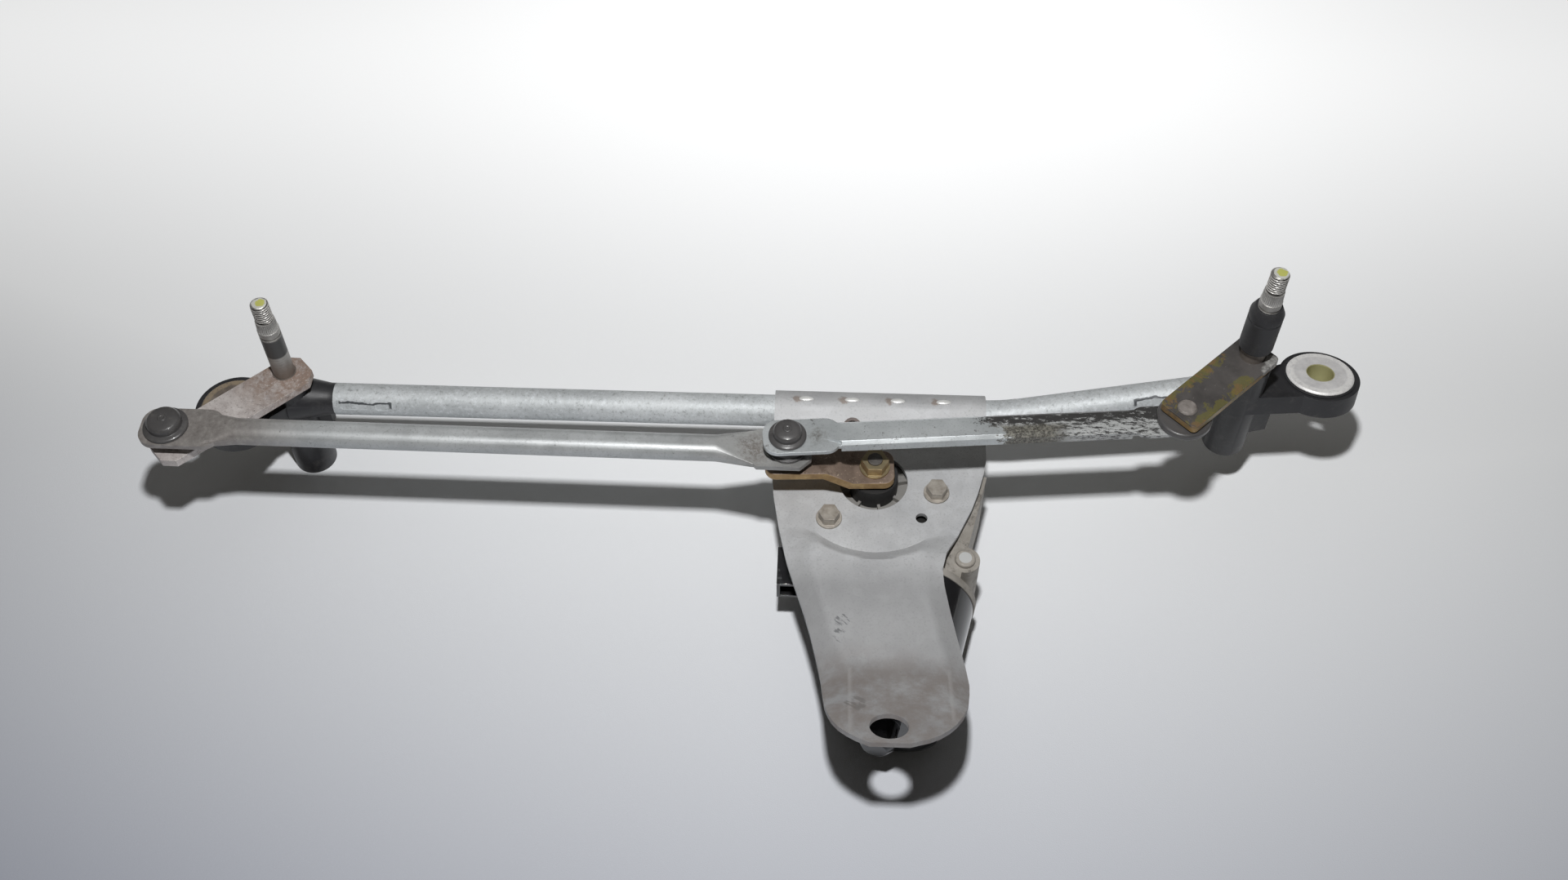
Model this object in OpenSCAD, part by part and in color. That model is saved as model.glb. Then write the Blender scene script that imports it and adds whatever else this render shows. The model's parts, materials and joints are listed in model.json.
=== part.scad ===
// Windscreen wiper linkage: a tube frame carries two wiper spindles and a geared motor.
// The motor crank drives both spindle levers through two ball-jointed links.
// Origin: left spindle axis, on the top face of the left lever. +X along the tube, +Z up.

/* [Linkage layout] */
// Distance between the two wiper spindles along the tube
spindle_span = 530; // [515:1:545]
// How far the right spindle stands behind the left one
spindle_offset = 5; // [0:1:10]
// Distance of the motor shaft from the left spindle along the tube
crank_x = 329; // [320:1:335]
// Distance of the motor shaft in front of the left spindle
crank_y = 49; // [47:1:53]
// Motor shaft to crank pin
crank_throw = 47; // [43:1:49]
// Direction of the crank at park, anticlockwise from +X
crank_angle = 182.5; // [180:0.5:186]
// Left spindle to left ball
left_lever_len = 70; // [66:1:74]
// Direction of the left lever at park
left_lever_angle = 223.5; // [219:0.5:227]
// Right spindle to right ball
right_lever_len = 54; // [51:1:57]
// Direction of the right lever at park
right_lever_angle = 224; // [220:0.5:228]

/* [Levers and crank] */
// Thickness of the left lever
left_lever_t = 5; // [4:0.5:6]
// Width of the left lever
left_lever_w = 24; // [20:1:28]
// Sideways offset of the left lever plate from its pivots
left_lever_shift = 3.5; // [0:0.5:5]
// Thickness of the right lever
right_lever_t = 4.5; // [4:0.5:6]
// Width of the right lever
right_lever_w = 24; // [20:1:28]
// Top face of the right lever above the left one
right_lever_top = 30.5; // [29.5:0.5:34]
// Thickness of the crank arm
crank_t = 5; // [4:0.5:6]
// Width of the crank arm
crank_w = 22; // [20:1:26]
// Height of the joggle in the crank arm
crank_joggle = 9; // [8:0.5:10]
// Top of the crank's pin end above the left lever
crank_top = 1.5; // [0.5:0.1:1.5]

/* [Links and ball joints] */
// Radius of the ball studs
ball_r = 5; // [4.5:0.1:5.2]
// Gap between ball and socket
ball_gap = 0.08; // [0.05:0.01:0.15]
// Height of the left link plate above the left lever
left_link_z = 7; // [6.8:0.1:7.4]
// Plate thickness of the left link
left_link_t = 3; // [2.5:0.1:3.2]
// Width of the left link's tube part
left_link_w = 15; // [13:0.5:18]
// Height of the left link's tube part
left_link_h = 12; // [10:0.5:12]
// Height of the right link plate above the left lever
right_link_z = 18; // [17.8:0.1:18.6]
// Sheet thickness of the right link
right_link_t = 2.5; // [2:0.1:3]
// Width of the right link's channel
right_link_w = 15.5; // [13:0.5:17]
// Width of the flat link ends
link_end_w = 25; // [23:0.5:27]
// Free height between parts that pass over each other
pass_gap = 0.3; // [0.2:0.05:0.5]

/* [Spindles and bearings] */
// Radius of the spindles inside their bushes
journal_r = 6.5; // [6.3:0.1:6.8]
// Running clearance of the shafts in their bushes
run_gap = 0.05; // [0.02:0.01:0.08]
// Radius of the spindle shank above the lever
shank_r = 5.9; // [5.7:0.1:6]
// Height of the left spindle's plain shank
left_shank_h = 32; // [26:1:40]
// Height of the right spindle's plain shank
right_shank_h = 39.5; // [34:0.5:48]
// Radius of the spindle thread
thread_r = 4.9; // [4.6:0.1:5.1]
// Length of the spindle thread
thread_h = 12; // [8:1:16]
// Length of the knurled cone
knurl_h = 7; // [5:0.5:9]
// Outer radius of the bearing bushes
bush_r = 8.5; // [8:0.1:9.5]
// Length of each bearing bush
bush_h = 15; // [10:1:20]
// Outer radius of the bearing bosses
boss_r = 12; // [11.5:0.1:12.8]
// Length of the left bearing boss
left_boss_h = 73.5; // [60:0.5:73.5]
// Length of the right bearing boss
right_boss_h = 69; // [55:1:75]

/* [Frame tube] */
// Outer diameter of the frame tube
tube_d = 18; // [16:0.5:18.5]
// Wall of the frame tube
tube_wall = 1.5; // [1:0.1:2]
// Tube axis below the left lever's top
tube_drop = 22; // [21:0.5:24]
// Tube axis in front of the left spindle
tube_front = 1; // [0:0.5:2]
// Upward bend of the right part of the tube
tube_bend = 12; // [9:0.5:14]
// Lean of the bend away from the motor
tube_lean = 9.5; // [5:0.5:14]
// Bend radius of the tube axis
tube_bend_r = 90; // [60:5:120]

/* [Mounting eyes] */
// Outer radius of the eyes
eye_r = 22; // [21:0.5:24]
// Height of the eyes
eye_h = 12; // [10:0.5:15]
// Bore radius of the steel sleeves
sleeve_r = 7.2; // [5:0.1:8]
// Wall of the steel sleeves
sleeve_wall = 1.8; // [1.2:0.1:2.2]
// Radius of the sleeve flanges
sleeve_flange_r = 18.5; // [17:0.5:19]
// Backward lean of the right eye
right_eye_lean = 12; // [6:1:16]

/* [Motor bracket] */
// Sheet thickness of the bracket
sheet = 2.5; // [2:0.1:3]
// Top of the motor plate below the left lever's top
plate_drop = 21; // [20:0.5:22]
// Height by which the tongue is raised above the motor plate
tongue_rise = 8; // [5:0.5:9]
// Upward tilt of the tongue's end
flap_tilt = 25; // [15:1:30]
// Radius of the mounting hole in the tongue's end
flap_hole_r = 9.4; // [6:0.1:11]
// Radius of the opening for the motor's neck
motor_hole_r = 18.6; // [17:0.1:21]
// Radius of the motor bolt circle
bolt_circle_r = 34.7; // [33:0.1:36]

/* [Motor] */
// Radius of the motor can
can_r = 31; // [28:0.5:31]
// Length of the motor can
can_len = 78; // [70:1:82]
// Motor axis below the left lever's top
motor_drop = 48.5; // [47:0.5:48.5]
// Direction of the motor axis, anticlockwise from +X
motor_dir = 256; // [254:0.5:260]
// Teeth of the worm wheel
wheel_teeth = 50; // [40:2:60]
// Pitch radius of the worm wheel
wheel_r = 32; // [30:0.5:32.5]
// Mean radius of the worm
worm_r = 5; // [4.6:0.1:5.4]
// Depth of the worm thread on each side of its mean radius
tooth_depth = 0.9; // [0.5:0.1:1]
// Gap between worm and wheel
mesh_gap = 0.4; // [0.3:0.05:0.6]
// Radius of the output shaft
output_r = 5; // [4.6:0.1:5.5]
// Radius of the armature shaft
armature_r = 4; // [3.5:0.1:4.4]

/* [Hidden] */
$fn = 64;
eps = 0.01;
function polar(r, a) = [r * cos(a), r * sin(a)];
function heading(a, b) = atan2(b.y - a.y, b.x - a.x);

// Pivots in plan
right_pivot = [spindle_span, spindle_offset];
motor_pivot = [crank_x, -crank_y];
crank_pin = motor_pivot + polar(crank_throw, crank_angle);
left_ball = polar(left_lever_len, left_lever_angle);
right_ball = right_pivot + polar(right_lever_len, right_lever_angle);
left_link_len = norm(crank_pin - left_ball);
left_link_dir = heading(left_ball, crank_pin);
right_link_len = norm(right_ball - crank_pin);
right_link_dir = heading(crank_pin, right_ball);

// Levels of the ball joints, from the crank upwards
left_link_top = left_link_z + left_link_t;
right_link_top = right_link_z + right_link_t;
lower_stud_z = crank_top + pass_gap;
stud_base_h = 0.8;
lower_ball_z = lower_stud_z + stud_base_h + ball_r;
socket_roof = 1.4;
lower_cap_top = lower_ball_z + ball_r + ball_gap + socket_roof;
upper_stud_z = lower_cap_top + pass_gap;
upper_ball_z = upper_stud_z + stud_base_h + ball_r;
left_ball_z = left_link_z + 0.5;
right_ball_z = right_link_z + 2;
right_lever_base = right_lever_top - right_lever_t;
socket_r = 8;
neck_r = 3;

// Spindle details
groove_h = 1.2;
groove_depth = 0.7;
collar_h = 3.8;
knurl_base_r = shank_r - 0.2;
knurl_top_r = thread_r + 0.4;
relief_h = 1;
ring_h = 1.2;
ring_groove = 0.8;
ring_r = journal_r + 2.4;
washer_h = 1.2;
washer_gap = 0.15;
left_boss_top = -left_lever_t - washer_h - 2 * washer_gap;
right_boss_top = right_lever_base - washer_h - 2 * washer_gap;
recess_h = 6;
recess_r = ring_r + 1;
left_journal = left_lever_t + washer_h + 2 * washer_gap + left_boss_h - recess_h / 3;
right_journal = right_lever_t + washer_h + 2 * washer_gap + right_boss_h - recess_h / 3;
right_collar_h = 8.5;
right_collar_r = shank_r + 0.85;
rubber_r = shank_r + 3.2;
rubber_bevel = 4.5;

// Tube route
tube_r = tube_d / 2;
tube_bore_r = tube_r - tube_wall;
tube_z = -tube_drop;
tube_y = -tube_front;
tube_left_x = 25;
plug_gap = 0.05;
bend_swell = 0.1;
bracket_left = -55.5;
bracket_right = 62;
right_tube_gap = 26;
right_reach = 113;
bend_x = max(crank_x + bracket_right, spindle_span - right_tube_gap - right_reach);
bend_run = tube_bend_r * sin(tube_bend);
bend_lift = tube_bend_r * (1 - cos(tube_bend));
right_run = (spindle_span - right_tube_gap - bend_x - bend_run) / cos(tube_bend);
plug_len = 36;
crimp_len = 28;
crimp_w = 5;
crimp_depth = 0.9;
crimp_turn = 65;

// Mounting eyes
eye_wall = 4.4;
eye_bore_r = eye_r - eye_wall;
left_eye = [-28.6, -14, -16];
right_eye = [right_pivot.x + 45.6, right_pivot.y + 11.7, 0];
flange_t = 1.5;
lip_h = 0.8;

// Bracket
plate_z = -plate_drop;
saddle_r = tube_r + sheet;
saddle_turn = 30;
flank_top = [tube_y - saddle_r * sin(saddle_turn), tube_z + saddle_r * cos(saddle_turn)];
flank_foot_y = flank_top.x - (flank_top.y - plate_z) / tan(saddle_turn);
tongue_z = plate_z + tongue_rise;
step_r = 47;
step_run = 8;
fold_y = -119;
flap_len = 60;
flap_hole_at = 47.5;
flap_hole_u = 6.5;
strips = 8;
step_round = 3;
can_edge_gap = 2.2;
bolt_hole_r = 3.3;
bolt_reach = 12;
stake_pitch = 25.5;
bolt_angles = [226.5, 348.8];
small_hole_r = 3.15;
small_hole_angle = 318;
peg_at = [-12, 33];
peg_r = 5;
peg_gap = 0.6;
stakes = 4;

// Motor, in a frame whose x runs along the armature towards the can's end
motor_z = -motor_drop;
worm_dist = wheel_r + worm_r + mesh_gap;
motor_foot = motor_pivot + polar(worm_dist, motor_dir + 90);
floor_z = -80;
screw_head_h = 1.6;
cover_z = floor_z + screw_head_h;
cover_t = 3;
wheel_h = 10;
wheel_gap = 1.5;
pot_wall = 4;
pot_r = wheel_r + tooth_depth + wheel_gap + pot_wall;
pot_top = plate_z - sheet - 3.5;
can_start = 49;
can_wall = 1.5;
flange_h = 4;
flange_r = can_r + 0.5;
neck_boss_r = 13;
neck_top = -14.5;
output_bush_r = output_r + 2;
crank_hub_top = crank_top - crank_joggle;
crank_shaft_r = 4;
nut_h = 6.5;
nut_af = 13;
lead = 2 * PI * wheel_r / wheel_teeth;
worm_half = 10;
can_end = can_start + can_len;
end_boss_r = 9.5;
end_boss_h = 15;
bush_len = 8;
bush_gap = 4;
bush_start = -worm_half - bush_gap - bush_len;
small_bush_r = armature_r + 3;
core_start = can_start + 16;
core_len = 44;
core_r = can_r - 9.5;
winding_h = 6;
commutator_r = 10;
brush_len = 5;
brush_gap = 0.3;
can_screw_at = (end_boss_r + can_r - 4) / 2;
magnet_r = can_r - can_wall - 0.1;
vent_at = [32, 21];

// Connector
conn_size = [23, 24, 13];
conn_wall = 2;
seat_gap = 0.02;
conn_depth = 19;
conn_arm = [46, 12];
conn_left = 51;
conn_front = 55;
conn_mouth = [crank_x - conn_left, -crank_y - conn_front, motor_z + 1];

// Shared shapes

module put(p, z = 0) { translate([p.x, p.y, z]) children(); }

module ring(r_out, r_in, h) {
    difference() {
        cylinder(r = r_out, h = h);
        translate([0, 0, -eps]) cylinder(r = r_in, h = h + 2 * eps);
    }
}

module rounded_bar(x0, x1, w, r) {
    translate([x0 + r, -w / 2]) square([x1 - x0 - 2 * r, w]);
    translate([x0, -w / 2 + r]) square([x1 - x0, w - 2 * r]);
    for (x = [x0 + r, x1 - r], y = [-1, 1]) translate([x, y * (w / 2 - r)]) circle(r = r);
}

module chamfered_bar(x0, x1, w, c) {
    polygon([[x0 + c, -w / 2], [x1 - c, -w / 2], [x1, -w / 2 + c], [x1, w / 2 - c],
        [x1 - c, w / 2], [x0 + c, w / 2], [x0, w / 2 - c], [x0, -w / 2 + c]]);
}

module along_x(r, h) { rotate([0, 90, 0]) cylinder(r = r, h = h); }

module motor_frame() { put(motor_foot, motor_z) rotate(motor_dir) children(); }

module left_eye_frame() { translate(left_eye) children(); }

module right_eye_frame() { translate(right_eye) rotate([-right_eye_lean, 0, 0]) children(); }

module tube_end_frame() {
    translate([bend_x, tube_y, tube_z]) rotate([-tube_lean, 0, 0])
        translate([bend_run, 0, bend_lift]) rotate([0, -tube_bend, 0]) children();
}

// Frame

// The bend is a trace fatter than the straight parts, as a drawn bend is
module tube_run(r, extra) {
    overlap = 1;
    translate([tube_left_x - extra, tube_y, tube_z]) along_x(r, bend_x - tube_left_x + extra + overlap);
    translate([bend_x, tube_y, tube_z]) rotate([-tube_lean, 0, 0])
        translate([0, 0, tube_bend_r]) rotate([90, 0, 0]) rotate(-90)
            rotate_extrude(angle = tube_bend) translate([tube_bend_r, 0]) circle(r = r + bend_swell);
    tube_end_frame() translate([-overlap, 0, 0]) along_x(r, right_run + extra + overlap);
}

// Two pockets in a row on the front and on the back of the tube, pressed into the plug
module crimp() {
    for (turn = [crimp_turn, crimp_turn + 180])
        rotate([turn, 0, 0]) translate([0, 0, tube_r - crimp_depth]) linear_extrude(tube_r) {
            rounded_bar(0, 0.57 * crimp_len, crimp_w, 2.2);
            rounded_bar(0.7 * crimp_len, crimp_len, crimp_w, 2.2);
        }
}

module frame_tube() {
    color("lightsteelblue") difference() {
        tube_run(tube_r, 0);
        tube_run(tube_bore_r, 1);
        translate([tube_left_x + 4, tube_y, tube_z]) crimp();
        tube_end_frame() translate([right_run - 4 - crimp_len, 0, 0]) crimp();
    }
}

// Closed profile of the sheet over the tube, in (y, z): saddle arc, flank and motor plate
module saddle_profile() {
    difference() {
        translate([tube_y, tube_z]) circle(r = saddle_r);
        translate([tube_y, tube_z]) circle(r = tube_r);
        translate([tube_y, tube_z]) rotate(90 + saddle_turn) square([2 * saddle_r, 3 * saddle_r]);
        translate([tube_y - saddle_r, tube_z - 2 * saddle_r - 3]) square(2 * saddle_r);
    }
    translate(flank_top) rotate(180 + saddle_turn) square([norm([flank_top.x - flank_foot_y,
        flank_top.y - plate_z]) + sheet * tan(saddle_turn / 2), sheet]);
}

// Rows of points across the pressed sheet, seen from the motor shaft. The first and last point
// of a row lie on the free edges at their own heights, the others between the creases.
function edged_row(left, right, edge_z, middle, top_z) = [[left.x, left.y, edge_z[0]],
    for (p = middle) [p.x, p.y, top_z], [right.x, right.y, edge_z[1]]];

function crease_row(left, left_crease, right_crease, right, edge_z, top_z) = edged_row(left, right, edge_z,
    [for (j = [0 : strips - 2]) left_crease + (right_crease - left_crease) * j / (strips - 2)], top_z);

function arc_row(left, right, r, from, to, edge_z, top_z) = edged_row(left, right, edge_z,
    [for (j = [0 : strips - 2]) polar(r, from + (to - from) * j / (strips - 2))], top_z);

function flat_row(left, right) = crease_row(left, left + (right - left) / strips,
    right - (right - left) / strips, right, flat_edges, plate_z);

// Rows of the tongue's tilted end: u across, v away from the fold, edges sunk below the crown
function flap_point(u, v, w) = [u, fold_y - v * cos(flap_tilt) + w * sin(flap_tilt),
    tongue_z + v * sin(flap_tilt) + w * cos(flap_tilt)];

function flap_row(v, left, left_crease, right_crease, right, sink) =
    [for (p = crease_row([left, v], [left_crease, v], [right_crease, v], [right, v], [-sink, -sink], 0))
        flap_point(p.x, p.y, p.z)];

plate_back = crank_y + flank_foot_y + 0.5;
step_top_r = step_r + step_run;
edge_sink = tongue_rise - 1;
flat_edges = [plate_z, plate_z];
left_edge_z = tongue_z - edge_sink;
can_edge_z = motor_z + can_r + can_edge_gap;
sheet_rows = [
    flat_row([bracket_left, plate_back], [bracket_right, plate_back]),
    flat_row([bracket_left, 14], [bracket_right, 14]),
    flat_row([-55, -6], [55, -12]),
    arc_row([-51.3, -27.5], [46.5, -30.5], step_r - step_round, 223, 313, flat_edges, plate_z),
    arc_row([-50.5, -32], [45, -34], step_r, 223, 313, flat_edges, plate_z),
    arc_row([-46, -52], [38.5, -47], step_top_r, 236, 297, [plate_z, can_edge_z - 1], tongue_z),
    arc_row([-45, -55.5], [37.8, -50.5], step_top_r + step_round, 236, 297, [plate_z, can_edge_z - 0.5], tongue_z),
    crease_row([-42, -66], [-30.5, -66], [26.5, -66], [35.2, -61], [left_edge_z, can_edge_z], tongue_z),
    crease_row([-33.5, -92], [-22.5, -92], [31, -92], [40.7, -90], [left_edge_z, can_edge_z - 3], tongue_z),
    flap_row(0, -26.5, -12, 36.5, 48, edge_sink),
    flap_row(18, -25.2, -11, 38, 46.8, 0.7 * edge_sink),
    flap_row(34, -23.8, -12, 38, 43.8, 0.2 * edge_sink),
    flap_row(47, -19.5, -15, 33, 37.2, 0),
    flap_row(55, -11.5, -8, 25, 28.5, 0),
    flap_row(flap_len, -3, 0, 13, 16, 0)];
fold_row = 9;

// Offset from a sheet's top point to the point under it
function under(i) = i < fold_row ? [0, 0, -sheet]
    : i == fold_row ? [0, -sin(flap_tilt / 2), -cos(flap_tilt / 2)] * sheet / cos(flap_tilt / 2)
    : [0, -sin(flap_tilt), -cos(flap_tilt)] * sheet;

// Corner cutting along a list of points or of rows, with both ends kept
function softened(p) = let (n = len(p) - 1) [p[0], for (i = [0 : n - 1])
    each [if (i > 0) 0.75 * p[i] + 0.25 * p[i + 1], if (i < n - 1) 0.25 * p[i] + 0.75 * p[i + 1]], p[n]];

function soft_grid(rows) = softened([for (row = rows) softened(row)]);

// Closed skin over rows of points: top, underside and the four free edges
module pressed_sheet(rows) {
    top_rows = soft_grid(rows);
    low_rows = soft_grid([for (i = [0 : len(rows) - 1]) [for (p = rows[i]) p + under(i)]]);
    n = len(top_rows);
    w = len(top_rows[0]);
    off = n * w;
    function quad(a, b, c, d) = [[a, b, c], [a, c, d]];
    faces = concat(
        [for (i = [0 : n - 2], j = [0 : w - 2])
            each quad(i * w + j, i * w + j + 1, (i + 1) * w + j + 1, (i + 1) * w + j)],
        [for (i = [0 : n - 2], j = [0 : w - 2])
            each quad(off + i * w + j, off + (i + 1) * w + j, off + (i + 1) * w + j + 1, off + i * w + j + 1)],
        [for (j = [0 : w - 2]) each quad(j + 1, j, off + j, off + j + 1)],
        [for (j = [0 : w - 2], k = (n - 1) * w) each quad(k + j, k + j + 1, off + k + j + 1, off + k + j)],
        [for (i = [0 : n - 2]) each quad(i * w, (i + 1) * w, off + (i + 1) * w, off + i * w)],
        [for (i = [0 : n - 2], k = w - 1)
            each quad((i + 1) * w + k, i * w + k, off + i * w + k, off + (i + 1) * w + k)]);
    polyhedron([for (row = concat(top_rows, low_rows)) each row], faces);
}

module motor_bracket() {
    color("gainsboro") difference() {
        union() {
            put([crank_x + bracket_left, 0]) rotate([90, 0, 90])
                linear_extrude(bracket_right - bracket_left) saddle_profile();
            put(motor_pivot) pressed_sheet(sheet_rows);
        }
        put(motor_pivot, plate_z - 2 * sheet) {
            cylinder(r = motor_hole_r, h = 4 * sheet);
            for (a = bolt_angles) put(polar(bolt_circle_r, a)) cylinder(r = bolt_hole_r, h = 4 * sheet);
            put(polar(bolt_circle_r, small_hole_angle)) cylinder(r = small_hole_r, h = 4 * sheet);
            put(peg_at) cylinder(r = peg_r + peg_gap, h = 30);
        }
        put(motor_pivot) translate(flap_point(flap_hole_u, flap_hole_at, -2 * sheet))
            rotate([-flap_tilt, 0, 0]) cylinder(r = flap_hole_r, h = 4 * sheet);
        for (i = [0 : stakes - 1])
            translate([crank_x + bracket_left + 14 + i * stake_pitch, tube_y, tube_z + saddle_r - 1])
                linear_extrude(2) rounded_bar(0, 7, 3, 1.4);
    }
}

// Bearing housings

module boss(top, h) { translate([0, 0, top - h]) cylinder(r = boss_r, h = h); }

module boss_bore(top, h) {
    translate([0, 0, top - h - eps]) cylinder(r = bush_r, h = h + 2 * eps);
    translate([0, 0, top - h - eps]) cylinder(r = recess_r, h = recess_h + eps);
}

module eye_arm(at, w) {
    linear_extrude(eye_h) {
        circle(r = eye_r);
        polygon([polar(w, heading([0, 0], at) + 90), polar(w, heading([0, 0], at) - 90),
            at + polar(boss_r - 2, heading([0, 0], at) - 90), at + polar(boss_r - 2, heading([0, 0], at) + 90)]);
    }
}

module left_bearing_housing() {
    web_h = 22;
    color("#2a2a2c") difference() {
        union() {
            boss(left_boss_top, left_boss_h);
            left_eye_frame() translate([0, 0, -eye_h]) eye_arm(-left_eye, eye_r - 2);
            translate([0, tube_y, tube_z]) along_x(tube_r, tube_left_x);
            translate([0, tube_y, tube_z]) along_x(tube_bore_r - plug_gap, tube_left_x + plug_len);
            translate([0, tube_y, tube_z]) rotate([0, 90, 0])
                cylinder(r1 = boss_r + 1.5, r2 = tube_r, h = tube_left_x - 3);
            translate([0, -3, tube_z - web_h]) cube([tube_left_x - 6, 6, web_h]);
        }
        boss_bore(left_boss_top, left_boss_h);
        left_eye_frame() translate([0, 0, -eye_h - eps]) cylinder(r = eye_bore_r, h = eye_h + 2 * eps);
    }
}

module right_bearing_housing() {
    web_h = 26;
    color("#2a2a2c") difference() {
        union() {
            put(right_pivot) boss(right_boss_top, right_boss_h);
            right_eye_frame() translate([0, 0, -eye_h])
                eye_arm([right_pivot.x - right_eye.x, right_pivot.y - right_eye.y], eye_r - 5);
            tube_end_frame() translate([right_run, 0, 0]) along_x(tube_r, right_tube_gap - 4);
            tube_end_frame() translate([right_run - plug_len, 0, 0])
                along_x(tube_bore_r - plug_gap, plug_len + right_tube_gap - 4);
            put(right_pivot, right_boss_top - right_boss_h + 8) rotate(heading(right_pivot, right_eye))
                translate([0, -4, 0]) cube([22, 8, web_h]);
        }
        put(right_pivot) boss_bore(right_boss_top, right_boss_h);
        right_eye_frame() translate([0, 0, -eye_h - eps]) cylinder(r = eye_bore_r, h = eye_h + 2 * eps);
    }
}

module bushes(top, h) {
    for (z = [top - bush_h, top - h + recess_h])
        translate([0, 0, z]) ring(bush_r, journal_r + run_gap, bush_h);
}

module left_bushes() { color("peru") bushes(left_boss_top, left_boss_h); }

module right_bushes() { color("peru") put(right_pivot) bushes(right_boss_top, right_boss_h); }

module thrust_washer(top) { translate([0, 0, top + washer_gap]) ring(boss_r - 1, journal_r + run_gap, washer_h); }

module left_thrust_washer() { color("dimgray") thrust_washer(left_boss_top); }

module right_thrust_washer() { color("dimgray") put(right_pivot) thrust_washer(right_boss_top); }

// Rubber ring with a lip over and under the eye
module grommet() {
    sleeve_out = sleeve_r + sleeve_wall;
    rotate_extrude() polygon([[sleeve_out, -eye_h - lip_h], [eye_bore_r + 2, -eye_h - lip_h],
        [eye_bore_r + 2, -eye_h], [eye_bore_r, -eye_h], [eye_bore_r, 0], [eye_bore_r + 2, 0],
        [eye_bore_r + 2, lip_h], [sleeve_out, lip_h]]);
}

module sleeve() {
    sleeve_out = sleeve_r + sleeve_wall;
    rotate_extrude() polygon([[sleeve_r, -eye_h - lip_h - flange_t], [sleeve_out, -eye_h - lip_h - flange_t],
        [sleeve_out, lip_h], [sleeve_flange_r, lip_h], [sleeve_flange_r, lip_h + 0.6],
        [sleeve_flange_r - 1, lip_h + flange_t], [sleeve_r, lip_h + flange_t]]);
}

module left_grommet() { color("#1c1c1c") left_eye_frame() grommet(); }

module right_grommet() { color("#1c1c1c") right_eye_frame() grommet(); }

module left_sleeve() { color("rosybrown") left_eye_frame() sleeve(); }

module right_sleeve() { color("darkkhaki") right_eye_frame() sleeve(); }

// Geared motor

module housing_plan(grow) {
    translate([0, -worm_dist]) circle(r = pot_r + grow);
    translate([-24 - grow, -worm_dist]) square([48 + 2 * grow, worm_dist + 21 + grow]);
    translate([20, -28 - grow]) square([can_start - flange_h - 20 + eps, 49 + 2 * grow]);
    translate([vent_at.x, vent_at.y]) circle(r = 8 + grow);
}

module gear_housing() {
    color("silver") difference() {
        union() {
            put(motor_foot, cover_z + cover_t) rotate(motor_dir)
                linear_extrude(pot_top - cover_z - cover_t) housing_plan(0);
            motor_frame() translate([can_start - flange_h, 0, 0]) along_x(flange_r, flange_h);
            put(motor_pivot, pot_top - eps) cylinder(r = neck_boss_r, h = neck_top - pot_top + eps);
            for (a = bolt_angles)
                put(motor_pivot + polar(bolt_circle_r, a), pot_top - eps)
                    cylinder(r = 7, h = plate_z - sheet - pot_top + eps);
            put(motor_pivot + peg_at, pot_top - 8) cylinder(r = peg_r, h = plate_z + 3 - pot_top + 8);
            for (i = [0 : 7])
                put(motor_pivot, pot_top - eps) rotate(i * 45 + 12)
                    translate([neck_boss_r - 1, -0.8, 0]) cube([8, 1.6, 3]);
        }
        put(motor_pivot, floor_z) cylinder(r = pot_r - pot_wall, h = motor_z + wheel_h / 2 + wheel_gap - floor_z);
        put(motor_pivot, floor_z) cylinder(r = output_bush_r, h = neck_top - floor_z + 1);
        motor_frame() translate([bush_start, 0, 0]) along_x(small_bush_r, 100);
        motor_frame() translate([-worm_half - 1, 0, 0]) along_x(worm_r + tooth_depth + 1.5, 100);
        motor_frame() translate([can_start - flange_h / 2, 0, 0]) along_x(can_r - can_wall, flange_h);
        for (a = bolt_angles)
            put(motor_pivot + polar(bolt_circle_r, a), plate_z - sheet - bolt_reach - 2)
                cylinder(r = 3, h = bolt_reach + 8);
    }
}

module gear_cover() {
    color("dimgray") put(motor_foot, cover_z) rotate(motor_dir) linear_extrude(cover_t) housing_plan(0);
}

module cover_screws() {
    color("gray") put(motor_foot, floor_z) rotate(motor_dir)
        for (p = [[-20, 17], [36, 17], [36, -24], [-20, -worm_dist - 28]])
            put(p) cylinder(r = 4, h = screw_head_h);
}

module output_bush() {
    color("peru") put(motor_pivot, motor_z + wheel_h / 2 + wheel_gap)
        ring(output_bush_r, output_r + run_gap, neck_top - motor_z - wheel_h / 2 - wheel_gap);
}

module vent_plug() {
    color("whitesmoke") motor_frame() translate([vent_at.x, vent_at.y, pot_top - motor_z]) {
        cylinder(r = 5.5, h = 1.6);
        translate([0, 0, 1.6]) cylinder(r1 = 5.5, r2 = 4.6, h = 0.8);
    }
}

module motor_bolts() {
    color("darkgray") for (a = bolt_angles) put(motor_pivot + polar(bolt_circle_r, a), plate_z) {
        cylinder(r = 7, h = 1.4);
        translate([0, 0, 1.4 - eps]) cylinder(r = 10 / sqrt(3), h = 5, $fn = 6);
        translate([0, 0, -sheet - bolt_reach]) cylinder(r = 3, h = sheet + bolt_reach + eps);
    }
}

module can_shell(shrink) {
    r = can_r - shrink;
    rotate([0, 90, 0]) rotate_extrude() polygon([[0, can_start - (shrink > 0 ? 1 : 0)],
        [r, can_start - (shrink > 0 ? 1 : 0)], [r, can_end - 4], [r - 1.2, can_end - 1.2 - shrink / 2],
        [r - 4, can_end - shrink], [end_boss_r - shrink, can_end - shrink],
        [end_boss_r - shrink, can_end + end_boss_h - 3 - shrink],
        [end_boss_r - 3 - shrink / 3, can_end + end_boss_h - shrink], [0, can_end + end_boss_h - shrink]]);
}

module motor_can() {
    color("#202224") motor_frame() difference() {
        can_shell(0);
        can_shell(can_wall);
    }
}

module can_screws() {
    color("gray") motor_frame() for (a = [80, 260])
        rotate([a, 0, 0]) translate([can_end, 0, can_screw_at]) along_x(3, 2.5);
}

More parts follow.
